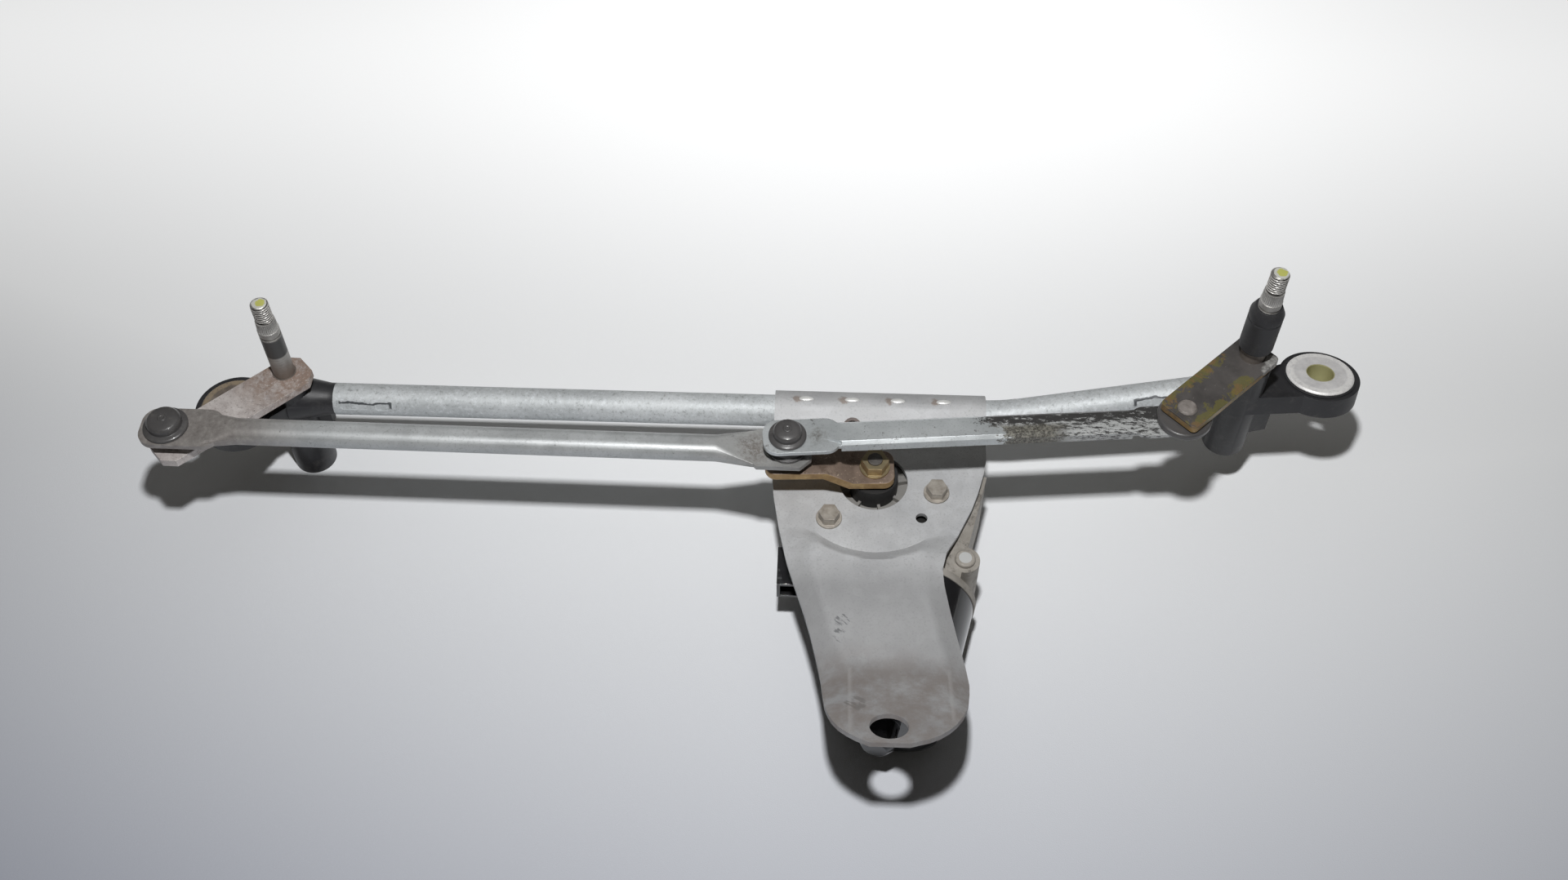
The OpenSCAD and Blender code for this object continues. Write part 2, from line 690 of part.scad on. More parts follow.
module magnets() {
    color("#3a3a3a") motor_frame() for (a = [25, 205])
        rotate([0, 90, 0]) rotate(a) translate([0, 0, core_start])
            rotate_extrude(angle = 130) translate([core_r + 1, 0]) square([magnet_r - core_r - 1, core_len]);
}

module armature_bushes() {
    color("peru") motor_frame() {
        translate([bush_start, 0, 0]) rotate([0, 90, 0])
            ring(small_bush_r, armature_r + run_gap, bush_len);
        translate([can_end - 1, 0, 0]) rotate([0, 90, 0])
            ring(end_boss_r - can_wall, armature_r + run_gap, 5.5);
    }
}

module brush_card() {
    color("sienna") motor_frame() translate([can_start + 1, 0, 0]) rotate([0, 90, 0])
        ring(can_r - can_wall - 0.1, 16, 2.5);
}

module brushes() {
    color("#333333") motor_frame() for (a = [0, 180])
        rotate([a, 0, 0]) translate([can_start + 3.5, -3, commutator_r + brush_gap]) cube([brush_len, 6, 12]);
}

module connector() {
    color("#1f2023") difference() {
        union() {
            translate(conn_mouth - [0, 0, conn_size.z / 2]) cube(conn_size);
            translate(conn_mouth + [6, conn_size.y - 2, 1 - conn_size.z / 2])
                cube([conn_arm.x, conn_arm.y, conn_size.z - 2]);
        }
        translate(conn_mouth + [conn_wall, -1, conn_wall - conn_size.z / 2])
            cube([conn_size.x - 2 * conn_wall, conn_depth, conn_size.z - 2 * conn_wall]);
        motor_frame() translate([0, 0, floor_z - motor_z]) linear_extrude(100) housing_plan(seat_gap);
        motor_frame() translate([can_start - flange_h - 1, 0, 0]) along_x(flange_r + seat_gap, 60);
    }
}

// Crank side

module output_shaft() {
    bottom = motor_z - wheel_h / 2 - 4;
    color("lightgray") put(motor_pivot) {
        translate([0, 0, bottom]) cylinder(r = output_r, h = crank_hub_top - crank_t - bottom);
        translate([0, 0, crank_hub_top - crank_t - eps])
            cylinder(r = crank_shaft_r, h = crank_t + nut_h + 1 + eps);
    }
}

// Rounded teeth: the rim follows a cosine that mates with the worm's own wave
module wheel_rim() {
    steps = wheel_teeth * 8;
    polygon([for (i = [0 : steps - 1]) polar(wheel_r + tooth_depth * cos(i * 360 / 8), i * 360 / steps)]);
}

module worm_wheel() {
    color("burlywood") put(motor_pivot, motor_z - wheel_h / 2) rotate(motor_dir + 90)
        linear_extrude(wheel_h) difference() {
            wheel_rim();
            circle(r = output_r);
        }
}

// Side profile of the crank along its length: hub, joggle and pin end
module crank_profile() {
    polygon([[-11, crank_hub_top - crank_t], [14, crank_hub_top - crank_t], [28, crank_top - crank_t],
        [crank_throw + 13, crank_top - crank_t], [crank_throw + 13, crank_top], [26, crank_top],
        [12, crank_hub_top], [-11, crank_hub_top]]);
}

module crank_arm() {
    color("darkgoldenrod") put(motor_pivot) rotate(crank_angle) difference() {
        intersection() {
            translate([0, crank_w, 0]) rotate([90, 0, 0]) linear_extrude(2 * crank_w) crank_profile();
            linear_extrude(100, center = true) rounded_bar(-10.5, crank_throw + 12, crank_w, 6);
        }
        translate([0, 0, crank_hub_top - 2 * crank_t]) cylinder(r = crank_shaft_r, h = 3 * crank_t);
    }
}

module crank_nut() {
    color("goldenrod") put(motor_pivot, crank_hub_top) difference() {
        union() {
            cylinder(r = 8.2, h = 1.2);
            cylinder(r = nut_af / sqrt(3), h = nut_h, $fn = 6);
        }
        translate([0, 0, -1]) cylinder(r = crank_shaft_r, h = nut_h + 2);
    }
}

// Armature

// Shaft with a single-start worm: an off-centre circle twisted along the axis
module armature_shaft() {
    turns = 2 * worm_half / lead;
    color("lightgray") motor_frame() {
        translate([bush_start + 1, 0, 0]) along_x(armature_r, can_end + 3 - bush_start);
        translate([-worm_half, 0, 0]) rotate([0, 90, 0]) rotate(90 + 180 * turns)
            linear_extrude(2 * worm_half, twist = 360 * turns, slices = round(8 * turns), segments = 12)
                translate([tooth_depth, 0]) circle(r = worm_r, $fn = 12);
    }
}

module armature_core() {
    slots = 12;
    color("#5a5d60") motor_frame() translate([core_start, 0, 0]) rotate([0, 90, 0]) linear_extrude(core_len)
        difference() {
            circle(r = core_r);
            circle(r = armature_r);
            for (i = [0 : slots - 1]) rotate(i * 360 / slots) translate([core_r - 7, -1]) square([8, 2]);
        }
}

module windings() {
    color("#b5651d") motor_frame() for (x = [core_start - winding_h, core_start + core_len])
        translate([x, 0, 0]) rotate([0, 90, 0]) ring(core_r - 3, armature_r + 3, winding_h);
}

module commutator() {
    color("#c98a4b") motor_frame() translate([can_start, 0, 0]) rotate([0, 90, 0])
        ring(commutator_r, armature_r, core_start - winding_h - can_start);
}

// Wiper spindles and levers

module spindle(journal_len, shank_h, low_collar_h, low_collar_r) {
    groove_z = shank_h;
    knurl_z = groove_z + groove_h + collar_h;
    relief_z = knurl_z + knurl_h;
    thread_z = relief_z + relief_h;
    ring_z = -journal_len + ring_h;
    rotate_extrude() polygon([[0, -journal_len], [journal_r - 0.2, -journal_len],
        [journal_r - 0.2, ring_z - 0.2], [journal_r - ring_groove, ring_z - 0.2],
        [journal_r - ring_groove, ring_z + ring_h], [journal_r, ring_z + ring_h], [journal_r, 0],
        [low_collar_r, 0], [low_collar_r, low_collar_h], [shank_r, low_collar_h],
        [shank_r, groove_z], [shank_r - groove_depth, groove_z],
        [shank_r - groove_depth, groove_z + groove_h], [shank_r, groove_z + groove_h], [shank_r, knurl_z],
        [knurl_base_r, knurl_z], [knurl_top_r, relief_z], [thread_r - 0.7, relief_z],
        [thread_r - 0.7, thread_z], [thread_r, thread_z], [thread_r, thread_z + thread_h - 1],
        [thread_r - 1, thread_z + thread_h], [0, thread_z + thread_h]]);
}

module left_spindle() {
    color("gray") spindle(left_journal, left_shank_h, 0, shank_r);
}

module right_spindle() {
    color("gray") put(right_pivot, right_lever_top)
        spindle(right_journal, right_shank_h, right_collar_h, right_collar_r);
}

module retaining_ring(top, journal_len) {
    translate([0, 0, top - journal_len + ring_h]) ring(ring_r, journal_r - ring_groove + run_gap, ring_h - 0.2);
}

module left_retaining_ring() { color("#303030") retaining_ring(0, left_journal); }

module right_retaining_ring() { color("#303030") put(right_pivot) retaining_ring(right_lever_top, right_journal); }

module left_lever() {
    color("rosybrown") rotate(left_lever_angle) difference() {
        translate([0, 0, -left_lever_t]) linear_extrude(left_lever_t)
            translate([0, left_lever_shift]) chamfered_bar(-12, left_lever_len + 12, left_lever_w, 6);
        translate([0, 0, -2 * left_lever_t]) cylinder(r = journal_r, h = 3 * left_lever_t);
        translate([left_lever_len, 0, -2 * left_lever_t]) cylinder(r = neck_r, h = 3 * left_lever_t);
    }
}

module right_lever() {
    color("#5b5146") put(right_pivot, right_lever_base) rotate(right_lever_angle) difference() {
        linear_extrude(right_lever_t) rounded_bar(-9, right_lever_len + 8, right_lever_w, 3);
        translate([0, 0, -1]) cylinder(r = journal_r, h = right_lever_t + 2);
        translate([right_lever_len, 0, -1]) cylinder(r = neck_r, h = right_lever_t + 2);
    }
}

// Black rubber sleeve on the right spindle's shank, stepped and tapered at its top
module right_rubber_sleeve() {
    top = right_shank_h - right_collar_h;
    color("#18191b") put(right_pivot, right_lever_top + right_collar_h) rotate_extrude()
        polygon([[shank_r, 0], [rubber_r - 0.2, 0], [rubber_r, 1], [rubber_r, top - 9],
            [rubber_r - 0.3, top - 8.6], [rubber_r - 0.3, top - 7.8], [rubber_r, top - 7.4],
            [rubber_r, top - rubber_bevel], [rubber_r - 2, top], [shank_r, top]]);
}

// Ball joints

module left_ball_stud() {
    color("silver") put(left_ball) {
        translate([0, 0, -left_lever_t - 1.2]) cylinder(r = neck_r + 1.5, h = 1.2);
        translate([0, 0, -left_lever_t - eps]) cylinder(r = neck_r, h = left_ball_z + left_lever_t);
        translate([0, 0, left_ball_z]) sphere(r = ball_r);
    }
}

module right_ball_stud() {
    color("silver") put(right_ball) {
        translate([0, 0, right_lever_top - eps]) cylinder(r1 = 5.4, r2 = 4.4, h = 1.2);
        translate([0, 0, right_ball_z]) cylinder(r = neck_r, h = right_lever_top - right_ball_z);
        translate([0, 0, right_ball_z]) sphere(r = ball_r);
    }
}

module crank_ball(base_z, ball_z) {
    put(crank_pin) {
        translate([0, 0, base_z]) cylinder(r = ball_r - 0.5, h = stud_base_h);
        translate([0, 0, base_z]) cylinder(r = neck_r, h = ball_z - base_z);
        translate([0, 0, ball_z]) sphere(r = ball_r);
    }
}

module lower_crank_ball() { color("silver") crank_ball(lower_stud_z, lower_ball_z); }

module upper_crank_ball() { color("silver") crank_ball(upper_stud_z, upper_ball_z); }

// Plastic socket, closed on the side away from the stud. Its ring is held in the link's plate.
module socket(ball_z, skirt_z, plate_top, cap, mouth_r) {
    difference() {
        union() {
            translate([0, 0, skirt_z]) cylinder(r = socket_r, h = plate_top - skirt_z + eps);
            rotate_extrude() polygon(concat([[0, plate_top]], cap, [[0, cap[len(cap) - 1].y]]));
        }
        translate([0, 0, ball_z]) sphere(r = ball_r + ball_gap);
        translate([0, 0, skirt_z - 1]) cylinder(r = mouth_r, h = ball_z - skirt_z + 1);
    }
}

function domed_cap(z, flange_r, top) = [[flange_r - 0.5, z], [flange_r, z + 0.6], [flange_r, z + 1.6],
    [flange_r - 1, z + 2.2], [flange_r * 0.77, z + 2.6], [flange_r * 0.76, top - 2.2],
    [flange_r * 0.66, top - 0.9], [flange_r * 0.45, top - 0.2], [flange_r * 0.2, top - 0.1],
    [flange_r * 0.14, top]];

module left_outer_socket() {
    color("#2b2a2a") put(left_ball)
        socket(left_ball_z, left_ball_z - 4.2, left_link_top, domed_cap(left_link_top, 12, left_link_top + 8), 4.2);
}

module left_crank_socket() {
    flat_cap = [[10.1, left_link_top], [10.6, left_link_top + 0.6], [10.6, left_link_top + 1.8],
        [9, left_link_top + 2.2], [8.2, lower_cap_top]];
    color("#2b2a2a") put(crank_pin)
        socket(lower_ball_z, lower_stud_z + stud_base_h + 0.3, left_link_top, flat_cap, 4.6);
}

module right_crank_socket() {
    color("#2b2a2a") put(crank_pin)
        socket(upper_ball_z, upper_stud_z + stud_base_h + 0.3, right_link_top,
            domed_cap(right_link_top, 10, right_link_top + 7), 4.6);
}

// The right lever sits above its link, so this socket opens upwards under a wide dust disc
module right_outer_socket() {
    floor = right_ball_z - ball_r - ball_gap - socket_roof;
    disc_r = 14.5;
    disc_top = right_lever_base - 1.4;
    color("#202022") put(right_ball) difference() {
        union() {
            translate([0, 0, floor]) cylinder(r = socket_r, h = right_link_top - floor + eps);
            rotate_extrude() polygon([[0, right_link_top], [disc_r - 1, right_link_top],
                [disc_r, right_link_top + 0.8], [disc_r, disc_top - 0.8], [disc_r - 1, disc_top], [0, disc_top]]);
        }
        translate([0, 0, right_ball_z]) sphere(r = ball_r + ball_gap);
        translate([0, 0, right_ball_z]) cylinder(r = 4.2, h = 20);
    }
}

// Links

module left_link() {
    flat = 38;
    blend = 20;
    mid_z = (left_link_z + left_link_top) / 2;
    tube_mid = (lower_cap_top + lower_stud_z) / 2;
    color("lightsteelblue") put(left_ball) rotate(left_link_dir) difference() {
        union() {
            translate([0, 0, left_link_z]) linear_extrude(left_link_t) {
                rounded_bar(-14, flat - 8, link_end_w, 9);
                translate([left_link_len, 0]) rotate(180) chamfered_bar(-13, flat - 16, link_end_w, 6);
            }
            translate([flat, 0, tube_mid]) rotate([90, 0, 90]) linear_extrude(left_link_len - 2 * flat)
                rounded_bar(-left_link_w / 2, left_link_w / 2, left_link_h, left_link_h / 2 - eps);
            for (end = [[flat, -blend], [left_link_len - flat, blend]])
                hull() {
                    translate([end[0], 0, tube_mid]) rotate([90, 0, 90]) linear_extrude(0.4, center = true)
                        rounded_bar(-left_link_w / 2, left_link_w / 2, left_link_h, left_link_h / 2 - eps, $fn = 24);
                    translate([end[0] + end[1], 0, mid_z])
                        cube([1, link_end_w - 3, left_link_t], center = true);
                }
        }
        for (x = [0, left_link_len]) translate([x, 0, 0]) cylinder(r = socket_r, h = 30);
        translate([flat + 8, 0, tube_mid]) rotate([90, 0, 90]) linear_extrude(left_link_len - 2 * flat - 16)
            rounded_bar(1.6 - left_link_w / 2, left_link_w / 2 - 1.6, left_link_h - 3.2, left_link_h / 2 - 1.6 - eps);
    }
}

// Pressed channel, open downwards, that runs out into flat ends
module right_link() {
    flat = 16;
    rise = 1.6;
    depth = 5;
    start = flat + 12;
    stop = right_link_len - flat - 12;
    color("lightsteelblue") put(crank_pin) rotate(right_link_dir) difference() {
        union() {
            translate([0, 0, right_link_z]) linear_extrude(right_link_t) {
                rounded_bar(-13, start, link_end_w - 3, 8);
                rounded_bar(stop, right_link_len + 11, right_link_w + 4, 8);
                translate([start - 10, -right_link_w / 2]) square([stop - start + 20, right_link_w]);
            }
            translate([start, 0, right_link_z]) rotate([90, 0, 90]) linear_extrude(stop - start)
                polygon([[-right_link_w / 2, right_link_t - depth], [-right_link_w / 2 + right_link_t,
                    right_link_t - depth], [-right_link_w / 2 + right_link_t, rise], [right_link_w / 2 - right_link_t,
                    rise], [right_link_w / 2 - right_link_t, right_link_t - depth], [right_link_w / 2,
                    right_link_t - depth], [right_link_w / 2, right_link_t], [right_link_w / 2 - 2,
                    right_link_t + rise], [2 - right_link_w / 2, right_link_t + rise], [-right_link_w / 2, right_link_t]]);
            for (end = [[start, -9], [stop, 9]])
                hull() {
                    translate([end[0], 0, right_link_top + rise / 2])
                        cube([0.4, right_link_w - 4, rise], center = true);
                    translate([end[0] + end[1], 0, right_link_top - 0.2])
                        cube([0.4, 5, 0.4], center = true);
                }
        }
        for (x = [0, right_link_len]) translate([x, 0, 0]) cylinder(r = socket_r, h = 40);
    }
}

frame_tube();
motor_bracket();
left_bearing_housing();
right_bearing_housing();
left_bushes();
right_bushes();
left_thrust_washer();
right_thrust_washer();
left_grommet();
right_grommet();
left_sleeve();
right_sleeve();
gear_housing();
gear_cover();
cover_screws();
output_bush();
vent_plug();
motor_bolts();
motor_can();
can_screws();
magnets();
armature_bushes();
brush_card();
brushes();
connector();
output_shaft();
worm_wheel();
crank_arm();
crank_nut();
armature_shaft();
armature_core();
windings();
commutator();
left_spindle();
left_lever();
left_ball_stud();
left_retaining_ring();
left_link();
left_outer_socket();
left_crank_socket();
lower_crank_ball();
right_spindle();
right_rubber_sleeve();
right_lever();
right_ball_stud();
right_retaining_ring();
right_link();
right_outer_socket();
right_crank_socket();
upper_crank_ball();
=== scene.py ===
"""Looks of the wiper linkage: finishes, turned spindles, stakes, marks on caps, floor, light and camera."""

import json
import math

import bmesh
import bpy
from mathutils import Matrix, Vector


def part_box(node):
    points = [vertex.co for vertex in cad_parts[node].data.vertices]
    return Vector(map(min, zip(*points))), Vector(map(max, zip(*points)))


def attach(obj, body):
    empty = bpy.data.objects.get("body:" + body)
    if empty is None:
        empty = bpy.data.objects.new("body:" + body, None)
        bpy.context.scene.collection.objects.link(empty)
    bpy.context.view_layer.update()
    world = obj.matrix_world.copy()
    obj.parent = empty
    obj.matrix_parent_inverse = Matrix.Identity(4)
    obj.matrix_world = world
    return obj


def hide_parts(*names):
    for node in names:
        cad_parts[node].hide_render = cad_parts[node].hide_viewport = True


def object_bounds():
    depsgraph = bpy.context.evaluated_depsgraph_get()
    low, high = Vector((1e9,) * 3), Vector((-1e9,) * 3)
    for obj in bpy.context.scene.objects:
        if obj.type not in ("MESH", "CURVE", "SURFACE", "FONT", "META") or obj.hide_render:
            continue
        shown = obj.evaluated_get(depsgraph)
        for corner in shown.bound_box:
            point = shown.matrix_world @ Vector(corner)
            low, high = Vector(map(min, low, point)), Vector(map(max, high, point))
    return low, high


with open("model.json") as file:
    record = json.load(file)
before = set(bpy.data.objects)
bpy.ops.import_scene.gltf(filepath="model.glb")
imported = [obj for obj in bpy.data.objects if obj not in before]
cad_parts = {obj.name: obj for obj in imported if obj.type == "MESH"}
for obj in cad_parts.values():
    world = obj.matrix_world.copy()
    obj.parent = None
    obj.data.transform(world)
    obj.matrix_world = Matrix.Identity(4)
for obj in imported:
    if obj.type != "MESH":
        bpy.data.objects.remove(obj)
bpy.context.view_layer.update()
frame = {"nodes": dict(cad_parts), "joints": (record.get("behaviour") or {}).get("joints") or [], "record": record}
NODES = frame["nodes"]
MOUNTS = {m["name"]: m for m in frame["record"]["mounts"]}
JOINTS = {j["name"]: j for j in frame["joints"]}
MM = 0.001

# Places that the finishes and pieces refer to, in metres in the part's frame
FLOOR_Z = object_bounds()[0].z
CRANK = Vector(JOINTS["crank_turn"]["pos_m"])
CRANK_PIN = CRANK + Vector((-46.96, -2.05, 0)) * MM
LEFT_BALL = Vector(JOINTS["left_link_turn"]["pos_m"])
RIGHT_BALL = Vector(JOINTS["right_link_turn"]["pos_m"])
RIGHT_PIVOT = Vector(JOINTS["right_lever_turn"]["pos_m"])
LEFT_EYE = MOUNTS["left_eye"]
RIGHT_EYE = MOUNTS["right_eye"]

# Stakes that lock the bracket's saddle to the tube
STAKES = 4
STAKE_PITCH = 25.5 * MM
STAKE_X = CRANK.x - 38 * MM
STAKE_Y = -1 * MM
STAKE_HALF = Vector((4.2, 1.7, 0.9)) * MM
SADDLE_Z = -10.5 * MM

# The tube's radius, the bend and lean of its right part, and its two crimps, whose lips get painted shadow.
# A crimp is a point on the axis, the axis, its front, its upper side, the start along it and the inner end.
TUBE_R = 9 * MM
BEND = math.radians(12)
LEAN = math.radians(9.5)
RIGHT_AXIS = (math.cos(BEND), math.sin(BEND) * math.sin(LEAN), math.sin(BEND) * math.cos(LEAN))
RIGHT_FRONT = (0, -math.cos(LEAN), math.sin(LEAN))
RIGHT_UP = (-math.sin(BEND), math.cos(BEND) * math.sin(LEAN), math.cos(BEND) * math.cos(LEAN))
CRIMPS = [((0, -0.001, -0.022), (1, 0, 0), (0, -1, 0), (0, 0, 1), 0.028, 0.029),
          ((0.40971, -0.00068, -0.02006), RIGHT_AXIS, RIGHT_FRONT, RIGHT_UP, 0.0634, 0.0006)]

# Spindle sizes, from the tip downwards
THREAD_R = 4.9 * MM
THREAD_PITCH = 1.5 * MM
THREAD_DEPTH = 0.85 * MM
THREAD_H = 12 * MM
THREAD_STEPS = 84
TIP_CHAMFER = 1 * MM
RELIEF_H = 1 * MM
KNURL_H = 7 * MM
KNURL_TEETH = 32
KNURL_DEPTH = 0.35 * MM
KNURL_R = (5.7 * MM, 5.3 * MM)
COLLAR_H = 3.8 * MM
GROOVE_H = 1.2 * MM
GROOVE_DEPTH = 0.7 * MM
SHANK_R = 5.9 * MM
JOURNAL_R = 6.5 * MM
SPINDLE_SIDES = 192

# Rounding of the edges in mm, 0 where thin or curved walls leave no room for it
USUAL_ROUND = 0.25
EDGE_ROUND = {"motor_bracket": 0, "frame_tube": 0, "left_link": 0, "gear_housing": 0, "armature_shaft": 0,
              "left_spindle": 0, "right_spindle": 0, "left_bearing_housing": 0.1,
              "right_bearing_housing": 0.1, "left_lever": 0.2, "right_lever": 0.2, "right_link": 0.15,
              "right_rubber_sleeve": 0.15, "crank_arm": 0.5, "crank_nut": 0.15, "connector": 0.3}

# Colours used more than once
DUST = (0.2, 0.19, 0.175)
SHADED_ZINC = (0.25, 0.25, 0.255)

# Camera at the photograph's viewpoint, in mm, metres and degrees
LENS = 37.95
SENSOR = 36
CAMERA_PLACE = (0.2985, -0.5744, 0.7121)
CAMERA_TILT = 37
CAMERA_TURN = 2

# Stage: floor with painted shade away from the back, its painted glow for the camera, world, and lamps as name,
# place, aim, size and power
FLOOR_SIZE = 8
FLOOR_X = 0.3
FLOOR_PALE = (0.97, 0.985, 1.0)
FLOOR_SHADED = (0.37, 0.39, 0.45)
FLOOR_GLOW = 0.48
MIDDLE_GLOW = 0.16
FAR_GLOW = 0.6
WORLD_TINT = (1.0, 0.94, 0.82, 1)
WORLD_LIGHT = 0.042
LAMPS = [("key", (0.282, -0.35, 0.93), (0.3, -0.03, -0.08), 0.05, 8.5),
         ("overhead", (0.3, 0.5, 1.5), (0.3, 0, 0), 1.6, 1.3)]


# Helpers that build shader nodes and return their output sockets

class Shader:
    """A principled material under construction, in the part's own coordinates."""

    def __init__(self, name):
        self.material = bpy.data.materials.new(name)
        self.material.use_nodes = True
        self.tree = self.material.node_tree
        self.principled = self.tree.nodes["Principled BSDF"]
        self.coords = self.node("ShaderNodeTexCoord").outputs["Object"]

    def node(self, kind, **settings):
        made = self.tree.nodes.new(kind)
        for key, value in settings.items():
            setattr(made, key, value)
        return made

    def link(self, value, socket):
        if isinstance(value, bpy.types.NodeSocket):
            self.tree.links.new(value, socket)
        else:
            socket.default_value = value

    def noise(self, scale, detail=4, rough=0.55, stretch=(1, 1, 1), distort=0, turn=0):
        vector = self.coords
        if stretch != (1, 1, 1):
            mapping = self.node("ShaderNodeMapping", vector_type="TEXTURE")
            mapping.inputs["Scale"].default_value = [1 / part for part in stretch]
            mapping.inputs["Rotation"].default_value = (0, 0, math.radians(turn))
            self.link(self.coords, mapping.inputs["Vector"])
            vector = mapping.outputs["Vector"]
        made = self.node("ShaderNodeTexNoise")
        self.link(vector, made.inputs["Vector"])
        made.inputs["Scale"].default_value = scale
        made.inputs["Detail"].default_value = detail
        made.inputs["Roughness"].default_value = rough
        made.inputs["Distortion"].default_value = distort
        return made.outputs["Fac"]

    def cells(self, scale):
        made = self.node("ShaderNodeTexVoronoi")
        self.link(self.coords, made.inputs["Vector"])
        made.inputs["Scale"].default_value = scale
        split = self.node("ShaderNodeSeparateColor")
        self.link(made.outputs["Color"], split.inputs["Color"])
        return split.outputs["Red"]

    def split(self, vector, letter):
        made = self.node("ShaderNodeSeparateXYZ")
        self.link(vector, made.inputs["Vector"])
        return made.outputs[letter]

    def axis(self, letter):
        return self.split(self.coords, letter)

    def upward(self):
        """How far the surface faces up: 1 on top, 0 on an upright side."""
        return self.split(self.node("ShaderNodeNewGeometry").outputs["Normal"], "Z")

    def vector(self, operation, value, other=(0, 0, 0)):
        made = self.node("ShaderNodeVectorMath", operation=operation)
        self.link(value, made.inputs[0])
        made.inputs[1].default_value = other
        return made.outputs["Value" if operation in ("LENGTH", "DOT_PRODUCT") else "Vector"]

    def offset(self, point):
        return self.vector("SUBTRACT", self.coords, point)

    def away(self, point):
        """Distance from a point."""
        return self.vector("LENGTH", self.offset(point))

    def beside(self, x, y):
        """Distance from an upright line."""
        return self.vector("LENGTH", self.vector("MULTIPLY", self.offset((x, y, 0)), (1, 1, 0)))

    def from_line(self, point, direction):
        """Distance from a line through a point."""
        return self.vector("LENGTH", self.vector("CROSS_PRODUCT", self.offset(point), direction))

    def across(self, point, direction):
        """Place along a direction, measured from a point."""
        return self.vector("DOT_PRODUCT", self.offset(point), direction)

    def math(self, operation, a, b=0.0):
        """Result of an operation on two values, kept within 0 and 1 for sums and differences."""
        made = self.node("ShaderNodeMath", operation=operation, use_clamp=operation in ("ADD", "SUBTRACT"))
        self.link(a, made.inputs[0])
        self.link(b, made.inputs[1])
        return made.outputs["Value"]

    def times(self, value, *factors):
        for factor in factors:
            value = self.math("MULTIPLY", value, factor)
        return value

    def band(self, value, low, high):
        """0 below low, 1 above high, smooth between; the other way round if low is the larger."""
        made = self.node("ShaderNodeMapRange", interpolation_type="SMOOTHSTEP")
        self.link(value, made.inputs["Value"])
        made.inputs["From Min"].default_value = min(low, high)
        made.inputs["From Max"].default_value = max(low, high)
        made.inputs["To Min"].default_value = 0 if low <= high else 1
        made.inputs["To Max"].default_value = 1 if low <= high else 0
        return made.outputs["Result"]

    def rough_between(self, value, low, high):
        """Roughness that follows a noise."""
        made = self.node("ShaderNodeMapRange")
        self.link(value, made.inputs["Value"])
        made.inputs["From Min"].default_value = 0.3
        made.inputs["From Max"].default_value = 0.7
        made.inputs["To Min"].default_value = low
        made.inputs["To Max"].default_value = high
        return made.outputs["Result"]

    def ramp(self, value, stops):
        made = self.node("ShaderNodeValToRGB")
        elements = made.color_ramp.elements
        while len(elements) < len(stops):
            elements.new(0.5)
        for element, (place, colour) in zip(elements, stops):
            element.position = place
            element.color = (*colour, 1)
        self.link(value, made.inputs["Fac"])
        return made.outputs["Color"]

    def over(self, colour, mask, paint, share=1):
        """Paint laid over a colour where the mask is 1, covering no more than the share."""
        made = self.node("ShaderNodeMix", data_type="RGBA")
        self.link(mask if share == 1 else self.times(mask, share), made.inputs["Factor"])
        for socket, value in ((made.inputs["A"], colour), (made.inputs["B"], paint)):
            self.link((*value, 1) if isinstance(value, tuple) else value, socket)
        return made.outputs["Result"]

    def spot(self, point, size, wobble=2.5 * MM, scale=260):
        """1 inside a ragged patch around a point, 0 outside."""
        ragged = self.times(self.math("SUBTRACT", self.noise(scale, 5, 0.7), 0.25), wobble * 2)
        return self.band(self.math("ADD", self.away(point), ragged), size + wobble * 0.6, size)

    def smudge(self, x, y, size, scale=240):
        """A broken patch around an upright line: up to 1 near it, fading to 0."""
        ragged = self.times(self.noise(scale, 6, 0.78), size * 2.2)
        near = self.band(self.math("ADD", self.beside(x, y), ragged), size * 2.4, size * 1.3)
        return self.times(near, self.band(self.noise(scale * 2.2, 7, 0.85), 0.4, 0.56))

    def finish(self, colour, metallic, rough, bump=None, depth=0.1 * MM, coat=0.0):
        shader = self.principled
        self.link(colour, shader.inputs["Base Color"])
        self.link(metallic, shader.inputs["Metallic"])
        self.link(rough, shader.inputs["Roughness"])
        shader.inputs["Coat Weight"].default_value = coat
        if bump is not None:
            made = self.node("ShaderNodeBump")
            made.inputs["Strength"].default_value = 0.5
            made.inputs["Distance"].default_value = depth
            self.link(bump, made.inputs["Height"])
            self.link(made.outputs["Normal"], shader.inputs["Normal"])
        return self.material


def scaled(colour, factor):
    return tuple(part * factor for part in colour)


# Finishes

def zinc_base(s, dark, light):
    """Mottled zinc with faint spangles and fine grain."""
    cloud = s.noise(26, 6, 0.6)
    grain = s.noise(900, 3)
    colour = s.ramp(cloud, [(0.32, dark), (0.68, light)])
    colour = s.over(colour, s.band(grain, 0.54, 0.68), scaled(dark, 0.7), 0.4)
    colour = s.over(colour, s.band(s.cells(230), 0.5, 1.0), (0.8, 0.82, 0.84), 0.1)
    return colour, cloud, grain


